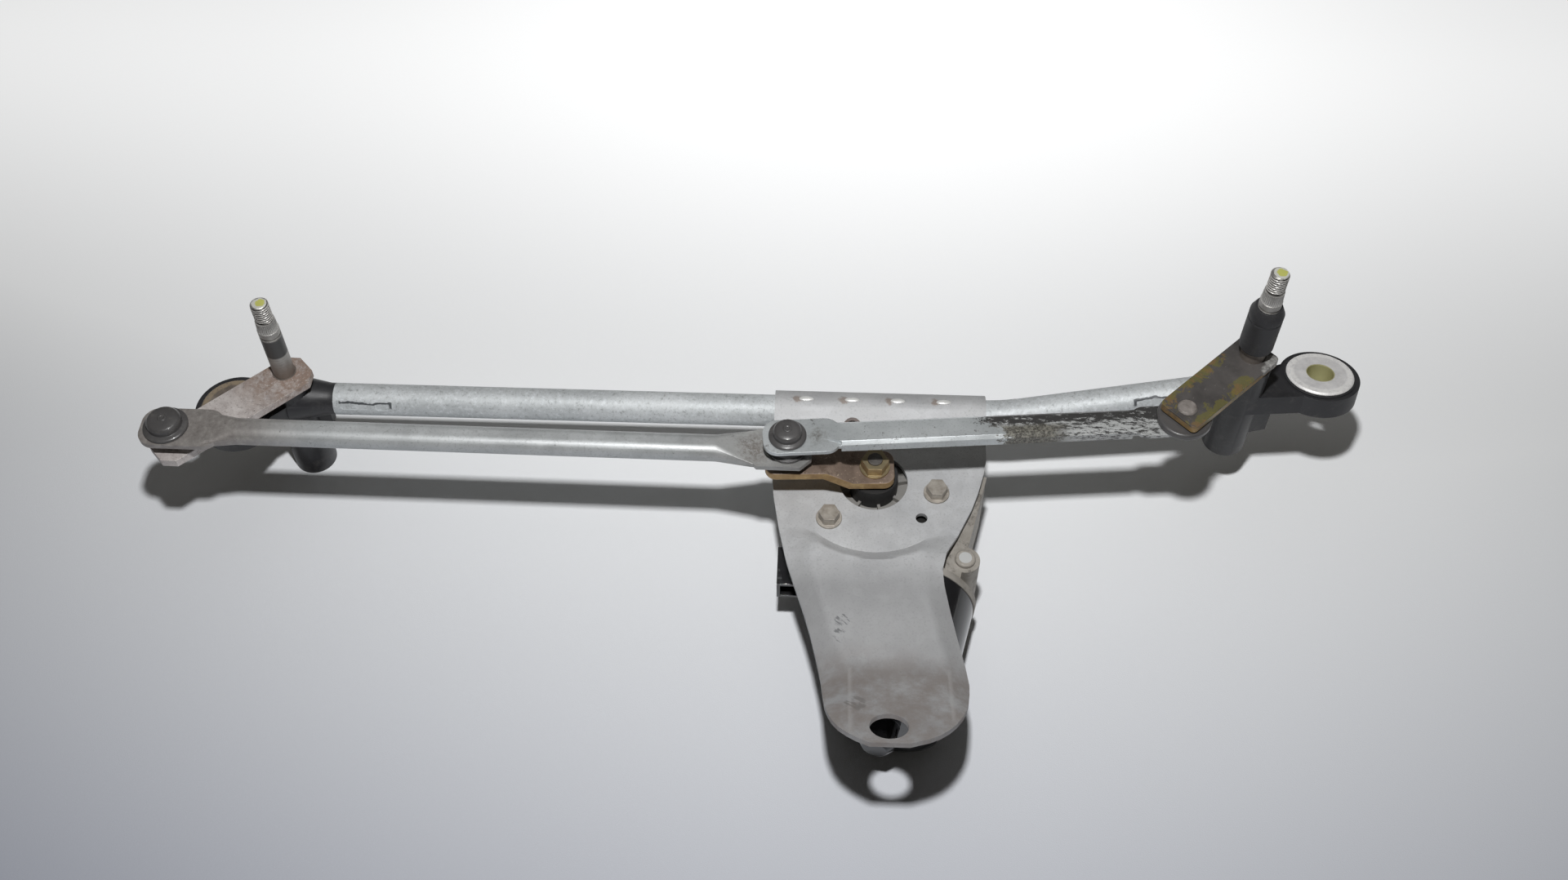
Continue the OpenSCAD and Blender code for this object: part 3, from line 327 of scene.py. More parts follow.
def bracket_zinc():
    """Zinc with painted shade over the tongue and flap and a little on the saddle, a stained end flap with painted
    highlights along its folds, dark dabs and rust beside the stakes.
    """
    s = Shader("bracket_zinc")
    colour, cloud, grain = zinc_base(s, (0.43, 0.435, 0.445), (0.57, 0.575, 0.58))
    x = s.axis("X")
    y = s.axis("Y")
    blotch = s.noise(60, 5, 0.65)
    # Painted shade: darker towards the front over the tongue and flap, and lightly over the saddle at the back
    colour = s.over(colour, s.band(y, CRANK.y - 0.05, CRANK.y - 0.075), SHADED_ZINC, 0.6)
    colour = s.over(colour, s.band(y, -0.026, -0.012), SHADED_ZINC, 0.2)
    flap = s.times(s.band(y, -0.15, -0.18), s.band(blotch, 0.3, 0.62))
    colour = s.over(colour, flap, (0.22, 0.19, 0.173), 0.75)
    # Painted highlights: lighter lines along the flap's two folds
    fold_y = -0.172
    for fold_x, length in ((-0.0135, 0.04), (0.036, 0.03)):
        place = s.math("SUBTRACT", x, CRANK.x + fold_x)
        line = s.times(s.band(place, 0, 0.0012), s.band(place, 0.0034, 0.0014),
                       s.band(y, fold_y + 0.005, fold_y),
                       s.band(y, fold_y - length - 0.006, fold_y - length), blotch)
        colour = s.over(colour, line, (0.55, 0.545, 0.54), 0.4)
    streak = s.noise(420, 3, 0.6, stretch=(0.3, 1.5, 1), turn=-38)
    for dab_x, dab_y in ((-0.0165, -0.093), (-0.0175, -0.101)):
        dab = s.spot((CRANK.x + dab_x, CRANK.y + dab_y, -0.013), 4.2 * MM)
        colour = s.over(colour, s.times(dab, s.band(streak, 0.47, 0.55)), (0.11, 0.115, 0.12), 0.75)
    smear = s.spot((CRANK.x - 0.009, CRANK.y - 0.146, 0), 6 * MM)
    colour = s.over(colour, s.times(smear, s.band(streak, 0.45, 0.56)), (0.16, 0.15, 0.145), 0.6)
    for i in range(STAKES):
        stain_x = STAKE_X + i * STAKE_PITCH - 5 * MM
        stain = s.spot((stain_x, STAKE_Y, SADDLE_Z), 2.8 * MM, 3 * MM, 420)
        colour = s.over(colour, stain, (0.2, 0.13, 0.085), 0.6)
    colour = s.over(colour, s.band(s.noise(330, 5, 0.75), 0.66, 0.72), (0.16, 0.155, 0.15), 0.5)
    bump = s.math("ADD", grain, s.times(blotch, 0.7))
    return s.finish(colour, 0.22, s.rough_between(cloud, 0.52, 0.66), bump)


def tube_zinc():
    """Speckled zinc with painted shadow along the upper lips and across the inner ends of the crimps."""
    s = Shader("tube_zinc")
    colour, cloud, grain = zinc_base(s, (0.47, 0.495, 0.505), (0.62, 0.645, 0.655))
    speckle = s.noise(420, 4, 0.7)
    colour = s.over(colour, s.band(speckle, 0.52, 0.66), (0.74, 0.77, 0.79), 0.55)
    colour = s.over(colour, s.band(speckle, 0.44, 0.32), (0.24, 0.25, 0.255), 0.6)
    wave = s.times(s.math("SUBTRACT", s.noise(150, 2), 0.3), 0.006)
    # Painted shadow under each crimp's upper lip and across its inner end
    for origin, along, front, up, start, inner in CRIMPS:
        x = s.math("SUBTRACT", s.across(origin, along), start)
        angle = s.math("ARCTAN2", s.across(origin, up), s.across(origin, front))
        height = s.math("ADD", s.times(angle, TUBE_R), wave)
        lip_shadow = s.times(s.band(height, 0.0065, 0.007), s.band(height, 0.0085, 0.008),
                      s.band(x, 0, 0.0008), s.band(x, 0.0305, 0.0297))
        end = s.times(s.band(x, inner - 0.0006, inner), s.band(x, inner + 0.0016, inner + 0.001),
                      s.band(height, 0.003, 0.0045), s.band(height, 0.008, 0.0076))
        colour = s.over(colour, s.math("MAXIMUM", lip_shadow, end), (0.045, 0.05, 0.055), 0.9)
    return s.finish(colour, 0.25, s.rough_between(cloud, 0.52, 0.64), grain)


def left_link_zinc():
    """Zinc with beige dirt at the left end, grime at the right end and grease beside the crank's cap."""
    s = Shader("left_link_zinc")
    colour, cloud, grain = zinc_base(s, (0.4, 0.415, 0.42), (0.56, 0.58, 0.585))
    x = s.axis("X")
    smear = s.noise(36, 6, 0.7, stretch=(0.35, 1, 1))
    beige = s.ramp(s.noise(260, 6, 0.72), [(0.3, (0.21, 0.185, 0.17)), (0.55, (0.33, 0.3, 0.28)),
                                           (0.75, (0.5, 0.47, 0.44))])
    dirty_left = s.math("SUBTRACT", s.band(x, 0.05, -0.02), s.times(smear, 0.3))
    colour = s.over(colour, dirty_left, beige)
    grime = s.ramp(smear, [(0.35, (0.14, 0.13, 0.12)), (0.62, (0.4, 0.375, 0.345))])
    dirty_right = s.math("SUBTRACT", s.band(x, 0.16, 0.3), s.times(smear, 0.75))
    colour = s.over(colour, dirty_right, grime)
    colour = s.over(colour, s.band(s.noise(300, 4, 0.8), 0.65, 0.7), (0.12, 0.12, 0.12), 0.6)
    grease = s.smudge(CRANK_PIN.x - 0.0175, CRANK_PIN.y - 0.001, 9.5 * MM)
    colour = s.over(colour, grease, (0.17, 0.145, 0.125), 0.75)
    return s.finish(colour, 0.45, s.rough_between(cloud, 0.38, 0.55), grain)


def right_link_zinc():
    """Zinc that turns to worn black paint with a ragged start, with dust and a patch of grease."""
    s = Shader("right_link_zinc")
    colour, cloud, grain = zinc_base(s, (0.48, 0.51, 0.52), (0.62, 0.65, 0.66))
    x = s.axis("X")
    along = (RIGHT_BALL - CRANK_PIN).normalized()
    side = s.across(tuple(CRANK_PIN), (-along.y, along.x, 0))
    ragged = s.times(s.math("SUBTRACT", s.noise(210, 7, 0.8), 0.25), 0.05)
    start = s.math("ADD", s.math("ADD", x, ragged), s.times(s.band(side, -0.006, 0.006), 0.012))
    paint = s.band(start, CRANK.x + 0.077, CRANK.x + 0.081)
    streaks = s.math("ADD", s.noise(620, 7, 0.8, stretch=(0.3, 1, 1)),
                     s.times(s.band(side, 0.005, -0.003), 0.12))
    black = s.over((0.045, 0.044, 0.043), s.band(streaks, 0.565, 0.62), (0.46, 0.47, 0.465))
    speckled = s.times(s.band(side, 0.001, -0.002), s.band(x, CRANK.x + 0.104, CRANK.x + 0.09))
    dirt = s.ramp(s.noise(800, 6, 0.8), [(0.42, (0.05, 0.047, 0.04)), (0.64, (0.3, 0.29, 0.25))])
    colour = s.over(colour, paint, s.over(black, speckled, dirt))
    colour = s.over(colour, s.band(s.noise(300, 5, 0.82), 0.6, 0.66), (0.13, 0.125, 0.12), 0.75)
    grease = s.smudge(CRANK_PIN.x + 0.0155, CRANK_PIN.y + 0.001, 5.5 * MM)
    colour = s.over(colour, grease, DUST, 0.7)
    metallic = s.math("SUBTRACT", 0.55, s.times(paint, 0.4))
    bump = s.math("ADD", grain, paint)
    return s.finish(colour, metallic, s.rough_between(cloud, 0.3, 0.48), bump, 0.08 * MM)


def brown_gold():
    """Yellow plating, brown on top, with a painted golden highlight on the upright sides."""
    s = Shader("brown_gold")
    cloud = s.noise(70, 6, 0.65)
    colour = s.ramp(cloud, [(0.3, (0.14, 0.1, 0.078)), (0.52, (0.225, 0.168, 0.132)),
                            (0.72, (0.31, 0.235, 0.185))])
    colour = s.over(colour, s.band(s.noise(520, 4, 0.75), 0.6, 0.68), (0.7, 0.58, 0.44), 0.7)
    colour = s.over(colour, s.band(s.noise(190, 6, 0.75), 0.52, 0.66), (0.11, 0.072, 0.05), 0.6)
    # Painted highlight: golden plating made lighter for the upright sides, where they catch light
    golden_side_highlight = s.ramp(s.noise(150, 6, 0.7), [(0.3, (0.27, 0.165, 0.075)), (0.55, (0.42, 0.28, 0.13)),
                                         (0.75, (0.6, 0.45, 0.22))])
    colour = s.over(colour, s.band(s.upward(), 0.8, 0.45), golden_side_highlight)
    return s.finish(colour, 0.4, s.rough_between(cloud, 0.4, 0.6), s.noise(700, 4))


def gold_nut():
    """Yellow plating, darker on the top face."""
    s = Shader("gold_nut")
    cloud = s.noise(160, 5, 0.65)
    colour = s.ramp(cloud, [(0.3, (0.22, 0.15, 0.075)), (0.6, (0.42, 0.31, 0.16)),
                            (0.8, (0.52, 0.43, 0.27))])
    colour = s.over(colour, s.band(s.upward(), 0.9, 0.97), (0.27, 0.235, 0.15), 0.7)
    return s.finish(colour, 0.6, s.rough_between(cloud, 0.34, 0.5), s.noise(900, 3))


def rusty_lever():
    """Pale corroded lever, rusty around the spindle."""
    s = Shader("rusty_lever")
    cloud = s.noise(60, 6, 0.7)
    colour = s.ramp(cloud, [(0.3, (0.42, 0.37, 0.355)), (0.5, (0.6, 0.555, 0.535)),
                            (0.7, (0.73, 0.69, 0.67))])
    rust = s.times(s.band(s.beside(0, 0), 0.036, 0.012), s.band(s.noise(110, 6, 0.7), 0.3, 0.58))
    colour = s.over(colour, rust, (0.25, 0.155, 0.105), 0.8)
    colour = s.over(colour, s.band(s.noise(520, 6, 0.82), 0.53, 0.62), (0.16, 0.13, 0.115), 0.55)
    colour = s.over(colour, s.band(s.noise(640, 5, 0.82), 0.56, 0.64), (0.78, 0.74, 0.71), 0.65)
    return s.finish(colour, 0.35, s.rough_between(cloud, 0.5, 0.75), s.noise(420, 6, 0.7), 0.2 * MM)


def stained_lever():
    """Dark lever with olive and rust patches towards its edges and tip, and a pale corroded corner."""
    s = Shader("stained_lever")
    cloud = s.noise(55, 5, 0.6)
    colour = s.ramp(cloud, [(0.3, (0.07, 0.065, 0.063)), (0.65, (0.125, 0.115, 0.11))])
    arm = (RIGHT_BALL - RIGHT_PIVOT).normalized()
    side = Vector((-arm.y, arm.x, 0))
    top = RIGHT_PIVOT.z
    along = s.across(tuple(RIGHT_PIVOT), tuple(arm))
    across = s.math("ABSOLUTE", s.across(tuple(RIGHT_PIVOT), tuple(side)))
    edge = s.times(s.band(across, 0.001, 0.01), s.band(along, 0.008, 0.014))
    tip = s.times(s.band(along, 0.046, 0.058), 0.7)
    prone = s.times(s.math("MAXIMUM", edge, tip), 0.2)
    for scale, limit, tint in ((92, 0.66, (0.17, 0.155, 0.05)), (78, 0.7, (0.23, 0.145, 0.065)),
                               (120, 0.72, (0.2, 0.17, 0.05))):
        blotch = s.band(s.math("ADD", prone, s.noise(scale, 7, 0.7, distort=0.8)), limit, limit + 0.03)
        colour = s.over(colour, blotch, tint, 0.75)
    rim = s.times(s.band(s.axis("Z"), top - 0.0006, top - 0.0012), s.band(s.noise(90, 5, 0.7), 0.35, 0.55))
    colour = s.over(colour, rim, (0.36, 0.23, 0.09), 0.8)
    crust = s.ramp(s.noise(420, 6, 0.8), [(0.35, (0.12, 0.12, 0.115)), (0.65, (0.55, 0.54, 0.52))])
    for crust_along, crust_side, size in ((-4, 11, 5), (3, 13, 4), (-8, -8, 3)):
        place = RIGHT_PIVOT + (arm * crust_along + side * crust_side) * MM
        colour = s.over(colour, s.spot((place.x, place.y, top), size * MM, 3 * MM, 300), crust)
    colour = s.over(colour, s.band(s.noise(340, 5, 0.8), 0.63, 0.69), (0.4, 0.385, 0.36), 0.45)
    return s.finish(colour, 0.3, s.rough_between(cloud, 0.36, 0.6), s.noise(300, 6, 0.7), 0.2 * MM)


def black_part(name, colour, rough, dust, coat=0.0):
    """Black plastic, rubber or paint with a film of dust."""
    s = Shader(name)
    cloud = s.noise(45, 5, 0.6)
    shade = s.ramp(cloud, [(0.3, colour), (0.75, scaled(colour, 1.7))])
    shade = s.over(shade, s.band(s.noise(120, 6, 0.75), 0.5, 0.75), DUST, dust)
    return s.finish(shade, 0.0, s.rough_between(cloud, *rough), s.noise(800, 4, 0.6), 0.08 * MM, coat)


def plain_metal(name, dark, light, metallic=0.8, rough=(0.35, 0.55), scale=120):
    """Mottled metal, or plastic or card if metallic is 0, with dark specks."""
    s = Shader(name)
    cloud = s.noise(scale, 6, 0.65)
    colour = s.ramp(cloud, [(0.3, dark), (0.7, light)])
    specks = s.band(s.noise(scale * 4, 4, 0.75), 0.62, 0.7)
    colour = s.over(colour, specks, scaled(dark, 0.45), 0.5)
    return s.finish(colour, metallic, s.rough_between(cloud, *rough), s.noise(scale * 7, 3), 0.05 * MM)


def spindle_steel(name, axis, tip_z, dark_band, collar_z):
    """Turned steel with a dark band on the shank, painted highlights on the thread crests and knurl ridges,
    painted shade in the thread grooves, and a dab of white and yellow paint on the tip.
    """
    s = Shader(name)
    relief_z = tip_z - THREAD_H - RELIEF_H
    knurl_z = relief_z - KNURL_H
    cloud = s.noise(150, 5, 0.65)
    rings = s.noise(60, 4, 0.7, stretch=(0.3, 0.3, 30))
    colour = s.ramp(cloud, [(0.3, (0.23, 0.22, 0.21)), (0.7, (0.42, 0.41, 0.39))])
    z = s.axis("Z")
    out = s.beside(axis[0], axis[1])
    turned = s.times(s.band(rings, 0.5, 0.62), s.band(z, relief_z + 0.5 * MM, relief_z - 0.5 * MM))
    colour = s.over(colour, turned, (0.55, 0.54, 0.52), 0.35)
    colour = s.over(colour, s.band(z, collar_z + 16 * MM, collar_z + 2 * MM), (0.2, 0.165, 0.14), 0.75)
    # Painted highlight on the thread crests
    crest_highlight = s.times(s.band(out, THREAD_R - 0.3 * MM, THREAD_R),
                    s.band(z, relief_z - 0.5 * MM, relief_z + 0.5 * MM))
    colour = s.over(colour, crest_highlight, (0.75, 0.73, 0.7), 0.8)
    # Painted highlight on the knurl's outer ridges
    rib_highlight = s.times(s.band(z, knurl_z - 0.2 * MM, knurl_z), s.band(z, relief_z, relief_z - 0.4 * MM),
                  s.band(out, KNURL_R[1], KNURL_R[1] + 0.3 * MM))
    colour = s.over(colour, rib_highlight, (0.62, 0.61, 0.59), 0.7)
    low, high = dark_band
    band = s.times(s.band(z, low, low + 1 * MM), s.band(z, high, high - 1.5 * MM))
    colour = s.over(colour, band, (0.055, 0.055, 0.057), 0.9)
    # Painted shade in the thread grooves
    root = s.times(s.band(out, THREAD_R - 0.3 * MM, THREAD_R - 0.7 * MM),
                   s.band(z, relief_z - 0.2 * MM, relief_z + 0.2 * MM),
                   s.band(z, tip_z - 0.6 * MM, tip_z - 1 * MM))
    colour = s.over(colour, root, (0.035, 0.032, 0.03), 0.92)
    top = s.band(z, tip_z - 0.4 * MM, tip_z - 0.2 * MM)
    wobble = s.times(s.noise(420, 3), 2.2 * MM)
    white = s.math("SUBTRACT", s.beside(axis[0] + 0.4 * MM, axis[1] - 0.3 * MM), wobble)
    colour = s.over(colour, s.times(s.band(white, 3 * MM, 2.6 * MM), top), (0.92, 0.92, 0.86))
    yellow = s.math("SUBTRACT", s.beside(axis[0] + 0.7 * MM, axis[1] + 0.2 * MM), wobble)
    colour = s.over(colour, s.times(s.band(yellow, 1.8 * MM, 1.3 * MM), top), (0.82, 0.83, 0.24))
    return s.finish(colour, 0.55, s.rough_between(cloud, 0.36, 0.55), rings, 0.04 * MM)


def eye_sleeve(name, eye, dark, light, bloom, bore):
    """Flange with corrosion blooms around a bore of another colour."""
    s = Shader(name)
    cloud = s.noise(180, 6, 0.7)
    colour = s.ramp(cloud, [(0.3, dark), (0.7, light)])
    colour = s.over(colour, s.band(s.noise(420, 6, 0.8), 0.55, 0.68), bloom, 0.6)
    bore_r = eye["dims"]["r_mm"] * MM
    out = s.from_line(tuple(eye["pos_m"]), tuple(eye["axis"]))
    rim = s.times(s.band(out, 13.8 * MM, 15.2 * MM), s.band(s.noise(380, 6, 0.8), 0.36, 0.52))
    colour = s.over(colour, rim, bloom, 0.85)
    colour = s.over(colour, s.band(out, bore_r + 0.8 * MM, bore_r + 0.3 * MM), bore)
    return s.finish(colour, 0.25, s.rough_between(cloud, 0.42, 0.66), s.noise(600, 5, 0.7), 0.15 * MM)


def plug_finish():
    """Small light disc in a dirty cast boss."""
    s = Shader("plug")
    low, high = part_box("vent_plug")
    middle = (low + high) / 2
    colour = s.ramp(s.noise(150, 6, 0.7), [(0.3, (0.24, 0.22, 0.19)), (0.7, (0.42, 0.39, 0.35))])
    disc = s.band(s.beside(middle.x, middle.y), 3.6 * MM, 3.3 * MM)
    colour = s.over(colour, disc, (0.5, 0.505, 0.5))
    return s.finish(colour, 0.1, 0.55, s.noise(600, 5, 0.7), 0.1 * MM)


def cast_aluminium():
    """Grimy casting: a rusty peg behind the link, a grey ring and black neck at the shaft, and painted shade
    inside a pit.
    """
    s = Shader("cast_aluminium")
    cloud = s.noise(50, 6, 0.7)
    colour = s.ramp(cloud, [(0.3, (0.26, 0.24, 0.21)), (0.7, (0.5, 0.47, 0.43))])
    colour = s.over(colour, s.band(s.noise(110, 6, 0.75), 0.5, 0.66), (0.1, 0.09, 0.08), 0.7)
    peg = s.times(s.band(s.beside(CRANK.x - 0.012, CRANK.y + 0.033), 6.5 * MM, 6 * MM),
                  s.band(s.axis("Z"), -0.026, -0.024))
    colour = s.over(colour, peg, (0.4, 0.22, 0.15), 0.95)
    out = s.beside(CRANK.x, CRANK.y)
    colour = s.over(colour, s.band(out, 21 * MM, 20 * MM), (0.24, 0.235, 0.225), 0.8)
    # Painted shade: a near-black disc for the inside of a pit
    pit_shade = s.band(s.beside(CRANK.x + 0.02579, CRANK.y - 0.02322), 5.8 * MM, 5.4 * MM)
    colour = s.over(colour, pit_shade, (0.008, 0.008, 0.008), 0.97)
    colour = s.over(colour, s.band(out, 13.3 * MM, 13.1 * MM), (0.02, 0.02, 0.021), 0.95)
    return s.finish(colour, 0.4, s.rough_between(cloud, 0.5, 0.7), s.noise(500, 6, 0.7), 0.2 * MM)


# Meshes

def soften(piece, width):
    """Rounded or crisp edges and smooth shading for a solid."""
    weld = piece.modifiers.new("weld", "WELD")
    weld.merge_threshold = 0.005 * MM
    flat = piece.modifiers.new("flat", "DECIMATE")
    flat.decimate_type = "DISSOLVE"
    flat.angle_limit = math.radians(0.5)
    if width:
        bevel = piece.modifiers.new("bevel", "BEVEL")
        bevel.width = width
        bevel.segments = 2
        bevel.limit_method = "ANGLE"
        bevel.angle_limit = math.radians(35)
        bevel.use_clamp_overlap = False
    else:
        edges = piece.modifiers.new("edges", "EDGE_SPLIT")
        edges.split_angle = math.radians(35)
    piece.modifiers.new("normals", "WEIGHTED_NORMAL")


def add_mesh(name, mesh, body, material):
    piece = bpy.data.objects.new(name, mesh)
    bpy.context.scene.collection.objects.link(piece)
    mesh.materials.append(material)
    for polygon in mesh.polygons:
        polygon.use_smooth = True
    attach(piece, body)
    return piece


def revolve(name, axis, rings, sides):
    """Closed mesh around an upright axis. Each ring is (z, function from angle to radius)."""
    made = bmesh.new()
    loops = []
    for z, radius in rings:
        loop = []
        for i in range(sides):
            a = 2 * math.pi * i / sides
            r = radius(a)
            loop.append(made.verts.new((axis[0] + r * math.cos(a), axis[1] + r * math.sin(a), z)))
        loops.append(loop)
    for low, high in zip(loops, loops[1:]):
        for i in range(sides):
            j = (i + 1) % sides
            made.faces.new((low[i], low[j], high[j], high[i]))
    made.faces.new(list(reversed(loops[0])))
    made.faces.new(loops[-1])
    mesh = bpy.data.meshes.new(name)
    made.to_mesh(mesh)
    made.free()
    return mesh


def spindle_rings(low, tip, lever_top, collar_r, collar_h):
    """Rings of a spindle: journal, shank, groove, collar, knurled cone, relief and helical thread."""
    thread_z = tip - THREAD_H
    knurl_top = thread_z - RELIEF_H
    knurl_z = knurl_top - KNURL_H
    groove_top = knurl_z - COLLAR_H
    groove_z = groove_top - GROOVE_H
    fine = 0.15 * MM

    def plain(r):
        return lambda a: r

    def knurled(r, share):
        return lambda a: r - share * KNURL_DEPTH * (0.5 + 0.5 * math.cos(KNURL_TEETH * a))

    def threaded(z, top):
        def radius(a):
            turn = ((z - thread_z) / THREAD_PITCH - a / (2 * math.pi)) % 1
            tooth = min(1, max(0, 2.6 * abs(2 * turn - 1) - 0.8))
            return min(THREAD_R - THREAD_DEPTH * (1 - tooth), top)
        return radius

    rings = [(low, plain(JOURNAL_R - 0.2 * MM)), (low + 1 * MM, plain(JOURNAL_R)),
             (lever_top, plain(JOURNAL_R)), (lever_top, plain(collar_r)),
             (lever_top + collar_h, plain(collar_r)), (lever_top + collar_h, plain(SHANK_R)),
             (groove_z - fine, plain(SHANK_R)), (groove_z, plain(SHANK_R - fine)),
             (groove_z, plain(SHANK_R - GROOVE_DEPTH)), (groove_top, plain(SHANK_R - GROOVE_DEPTH)),
             (groove_top, plain(SHANK_R - fine)), (groove_top + fine, plain(SHANK_R)),
             (knurl_z - fine, plain(SHANK_R)), (knurl_z, plain(SHANK_R - fine))]
    for share, deep in ((0, 0), (0.04, 1), (0.93, 1), (1, 0.4)):
        r = KNURL_R[0] + (KNURL_R[1] - KNURL_R[0]) * share
        rings.append((knurl_z + KNURL_H * share, knurled(r, deep)))
    root = THREAD_R - THREAD_DEPTH
    rings += [(knurl_top, plain(root)), (thread_z, plain(root))]
    for i in range(THREAD_STEPS + 1):
        z = thread_z + THREAD_H * i / THREAD_STEPS
        rings.append((z, threaded(z, min(THREAD_R, THREAD_R - TIP_CHAMFER + (tip - z)))))
    return rings


def make_spindle(side, axis, lever_top, collar_r, collar_h, dark_band):
    low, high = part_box(side + "_spindle")
    rings = spindle_rings(low.z, high.z, lever_top, collar_r, collar_h)
    mesh = revolve(side + "_spindle_turned", axis, rings, SPINDLE_SIDES)
    material = spindle_steel(side + "_spindle_steel", axis, high.z, dark_band, lever_top)
    piece = add_mesh(side + "_spindle_turned", mesh, side + "_lever", material)
    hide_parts(side + "_spindle")
    edges = piece.modifiers.new("edges", "EDGE_SPLIT")
    edges.split_angle = math.radians(38)


def make_stakes(material):
    """Lanced ovals that lock the bracket to the tube."""
    made = bmesh.new()
    for i in range(STAKES):
        centre = Vector((STAKE_X + i * STAKE_PITCH, STAKE_Y, SADDLE_Z))
        ball = bmesh.ops.create_icosphere(made, subdivisions=3, radius=1)
        for v in ball["verts"]:
            v.co = centre + v.co * STAKE_HALF
    mesh = bpy.data.meshes.new("stakes")
    made.to_mesh(mesh)
    made.free()
    add_mesh("stakes", mesh, "frame", material)


def make_pip(name, node, centre, body, material):
    """Moulded gate mark on top of a socket cap: a low rim around a dimple."""
    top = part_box(node)[1].z
    profile = ((-0.4, 2.6), (-0.05, 2.5), (0.2, 2.2), (0.3, 1.9), (0.3, 1.5), (0.15, 1.2), (-0.05, 0.9))
    rings = [(top + up * MM, lambda a, r=r: r * MM) for up, r in profile]
    add_mesh(name, revolve(name, centre, rings, 48), body, material)


# Stage

def make_camera():
    data = bpy.data.cameras.new("camera")
    data.lens = LENS
    data.sensor_width = SENSOR
    camera = bpy.data.objects.new("camera", data)
    camera.location = CAMERA_PLACE
    camera.rotation_euler = (math.radians(CAMERA_TILT), 0, math.radians(CAMERA_TURN))
    bpy.context.scene.collection.objects.link(camera)
    bpy.context.scene.camera = camera


def make_floor():
    """Pale floor with painted shade away from the back and a painted glow, brighter towards the back and far from
    the part, as the camera and reflections see it.
    """
    bpy.ops.mesh.primitive_plane_add(size=FLOOR_SIZE, location=(FLOOR_X, 0, FLOOR_Z))
    floor = bpy.context.object
    floor.name = "floor"
    s = Shader("floor")
    # Painted shade: the floor's colour darkens with distance from a point far behind the part
    depth = s.times(s.math("SUBTRACT", s.beside(0.12, 1.6), 1.6), 1 / 0.35)
    colour = s.ramp(depth, [(0, FLOOR_PALE), (1, FLOOR_SHADED)])
    material = s.finish(colour, 0.0, 0.6, s.noise(1500, 2, 0.6), 0.15 * MM)
    # Painted glow, seen by the camera and in reflections: towards the back, around the middle and far from the
    # part
    y = s.axis("Y")
    back = s.times(s.band(y, 0.0, 0.4), FLOOR_GLOW)
    middle = s.times(s.band(s.beside(0.05, 0.5), 0.5, 0.05), MIDDLE_GLOW)
    sides = s.band(s.math("ABSOLUTE", s.axis("X")), 0.65, 1.1)
    far = s.times(s.math("MAXIMUM", s.band(y, -0.26, -0.65), sides), FAR_GLOW)
    path = s.node("ShaderNodeLightPath").outputs
    mirrored = s.math("ADD", path["Is Glossy Ray"], path["Is Transmission Ray"])
    seen = s.math("ADD", path["Is Camera Ray"], mirrored)
    glow = s.times(s.math("MAXIMUM", s.math("ADD", back, middle), far), seen)
    s.link((1, 1, 1, 1), s.principled.inputs["Emission Color"])
    s.link(glow, s.principled.inputs["Emission Strength"])
    floor.data.materials.append(material)


def make_light():
    world = bpy.context.scene.world or bpy.data.worlds.new("world")
    bpy.context.scene.world = world
    world.use_nodes = True
    background = world.node_tree.nodes["Background"]
    background.inputs["Color"].default_value = WORLD_TINT
    background.inputs["Strength"].default_value = WORLD_LIGHT
    for name, place, aim, size, power in LAMPS:
        data = bpy.data.lights.new(name, "AREA")
        data.size = size
        data.energy = power
        lamp = bpy.data.objects.new(name, data)
        lamp.location = place
        lamp.rotation_euler = (Vector(aim) - Vector(place)).to_track_quat("-Z", "Y").to_euler()
        bpy.context.scene.collection.objects.link(lamp)


make_camera()
make_floor()
make_light()
bpy.context.scene.view_settings.view_transform = "Standard"

# Finish of every solid
black_plastic = black_part("black_plastic", (0.058, 0.056, 0.056), (0.3, 0.44), 0.35, 0.2)
black_casting = black_part("black_casting", (0.02, 0.02, 0.022), (0.34, 0.52), 0.22)
rubber = black_part("rubber", (0.018, 0.018, 0.02), (0.5, 0.68), 0.1)
gloss_black = black_part("gloss_black", (0.009, 0.009, 0.01), (0.12, 0.2), 0.05, 0.5)
left_eye_steel = eye_sleeve("left_eye_steel", LEFT_EYE, (0.12, 0.1, 0.085), (0.23, 0.195, 0.165),
                            (0.34, 0.27, 0.185), (0.25, 0.2, 0.15))
right_eye_steel = eye_sleeve("right_eye_steel", RIGHT_EYE, (0.66, 0.65, 0.65), (0.86, 0.85, 0.845),
                             (0.97, 0.96, 0.94), (0.42, 0.4, 0.2))
bright = plain_metal("bright_steel", (0.45, 0.45, 0.45), (0.66, 0.66, 0.66), 0.9, (0.22, 0.38))
dull_zinc = plain_metal("dull_zinc", (0.27, 0.24, 0.205), (0.5, 0.465, 0.415), 0.45, (0.45, 0.62), 220)
dirty_rivet = plain_metal("dirty_rivet", (0.17, 0.15, 0.135), (0.34, 0.31, 0.29), 0.25, (0.5, 0.7), 260)
dull_steel = plain_metal("dull_steel", (0.075, 0.068, 0.062), (0.16, 0.148, 0.138), 0.4, (0.45, 0.65), 260)
dark_steel = plain_metal("dark_steel", (0.12, 0.12, 0.12), (0.22, 0.22, 0.22), 0.7)
bronze = plain_metal("bronze", (0.3, 0.18, 0.08), (0.5, 0.33, 0.17))
copper = plain_metal("copper", (0.35, 0.14, 0.06), (0.6, 0.28, 0.13))
gear_plastic = plain_metal("gear_plastic", (0.6, 0.52, 0.36), (0.72, 0.64, 0.46), 0.0, (0.4, 0.5))
brown_card = plain_metal("brown_card", (0.2, 0.1, 0.05), (0.3, 0.16, 0.08), 0.0, (0.5, 0.6))
# Stakes: zinc painted pale, a painted highlight over their own colour
stake_zinc_highlight = plain_metal("stake_zinc_highlight", (0.7, 0.7, 0.68), (0.9, 0.9, 0.89), 0.3, (0.3, 0.45))

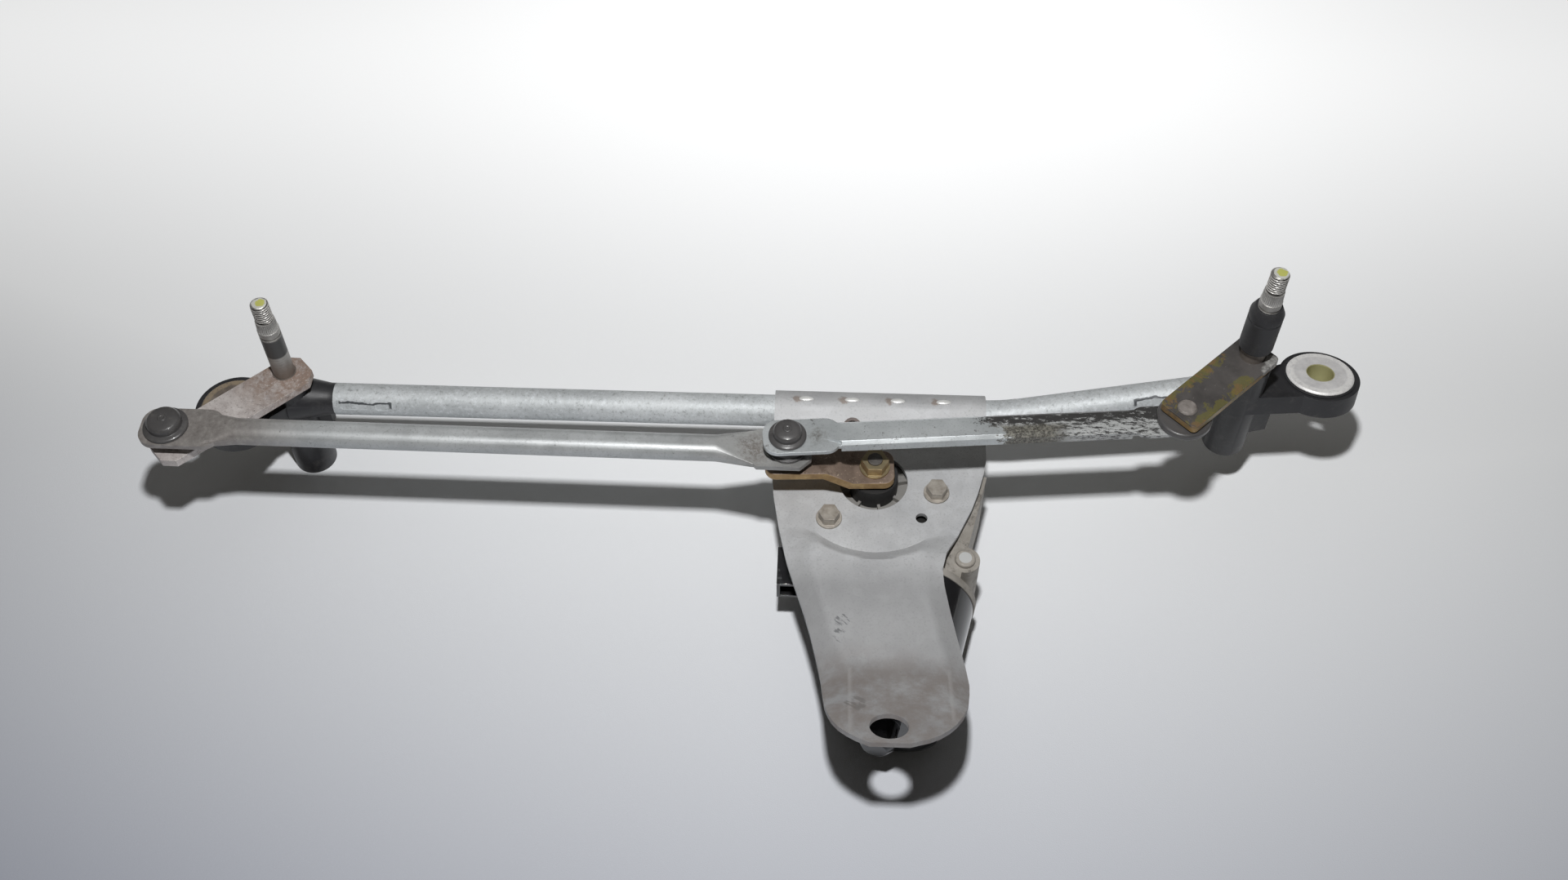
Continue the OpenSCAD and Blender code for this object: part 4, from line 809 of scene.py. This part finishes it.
FINISHES = [
    (bracket_zinc(), ["motor_bracket"]),
    (tube_zinc(), ["frame_tube"]),
    (left_link_zinc(), ["left_link"]),
    (right_link_zinc(), ["right_link"]),
    (brown_gold(), ["crank_arm"]),
    (gold_nut(), ["crank_nut"]),
    (rusty_lever(), ["left_lever"]),
    (stained_lever(), ["right_lever"]),
    (black_casting, ["left_bearing_housing", "right_bearing_housing", "gear_cover"]),
    (black_plastic, ["left_outer_socket", "left_crank_socket", "right_outer_socket", "right_crank_socket"]),
    (rubber, ["left_grommet", "right_grommet", "right_rubber_sleeve"]),
    (gloss_black, ["motor_can", "connector"]),
    (left_eye_steel, ["left_sleeve"]),
    (right_eye_steel, ["right_sleeve"]),
    (cast_aluminium(), ["gear_housing"]),
    (plug_finish(), ["vent_plug"]),
    (dull_zinc, ["motor_bolts", "cover_screws", "can_screws"]),
    (dull_steel, ["output_shaft"]),
    (dirty_rivet, ["right_ball_stud"]),
    (bright, ["armature_shaft", "left_ball_stud", "lower_crank_ball", "upper_crank_ball",
              "left_spindle", "right_spindle"]),
    (dark_steel, ["left_thrust_washer", "right_thrust_washer", "left_retaining_ring",
                  "right_retaining_ring", "magnets", "brushes", "armature_core"]),
    (bronze, ["left_bushes", "right_bushes", "output_bush", "armature_bushes"]),
    (copper, ["windings", "commutator"]),
    (gear_plastic, ["worm_wheel"]),
    (brown_card, ["brush_card"]),
]
for material, names in FINISHES:
    for name in names:
        mesh = NODES[name].data
        mesh.materials.clear()
        mesh.materials.append(material)
        soften(NODES[name], EDGE_ROUND.get(name, USUAL_ROUND) * MM)

# Pieces made here
make_spindle("left", (0, 0), 0, SHANK_R, 0, (0.017, 0.032))
make_spindle("right", RIGHT_PIVOT, RIGHT_PIVOT.z, SHANK_R + 0.85 * MM, 8.5 * MM, (0.05, 0.07))
make_stakes(stake_zinc_highlight)
make_pip("left_outer_pip", "left_outer_socket", LEFT_BALL, "left_link", black_plastic)
make_pip("right_crank_pip", "right_crank_socket", CRANK_PIN, "right_link", black_plastic)
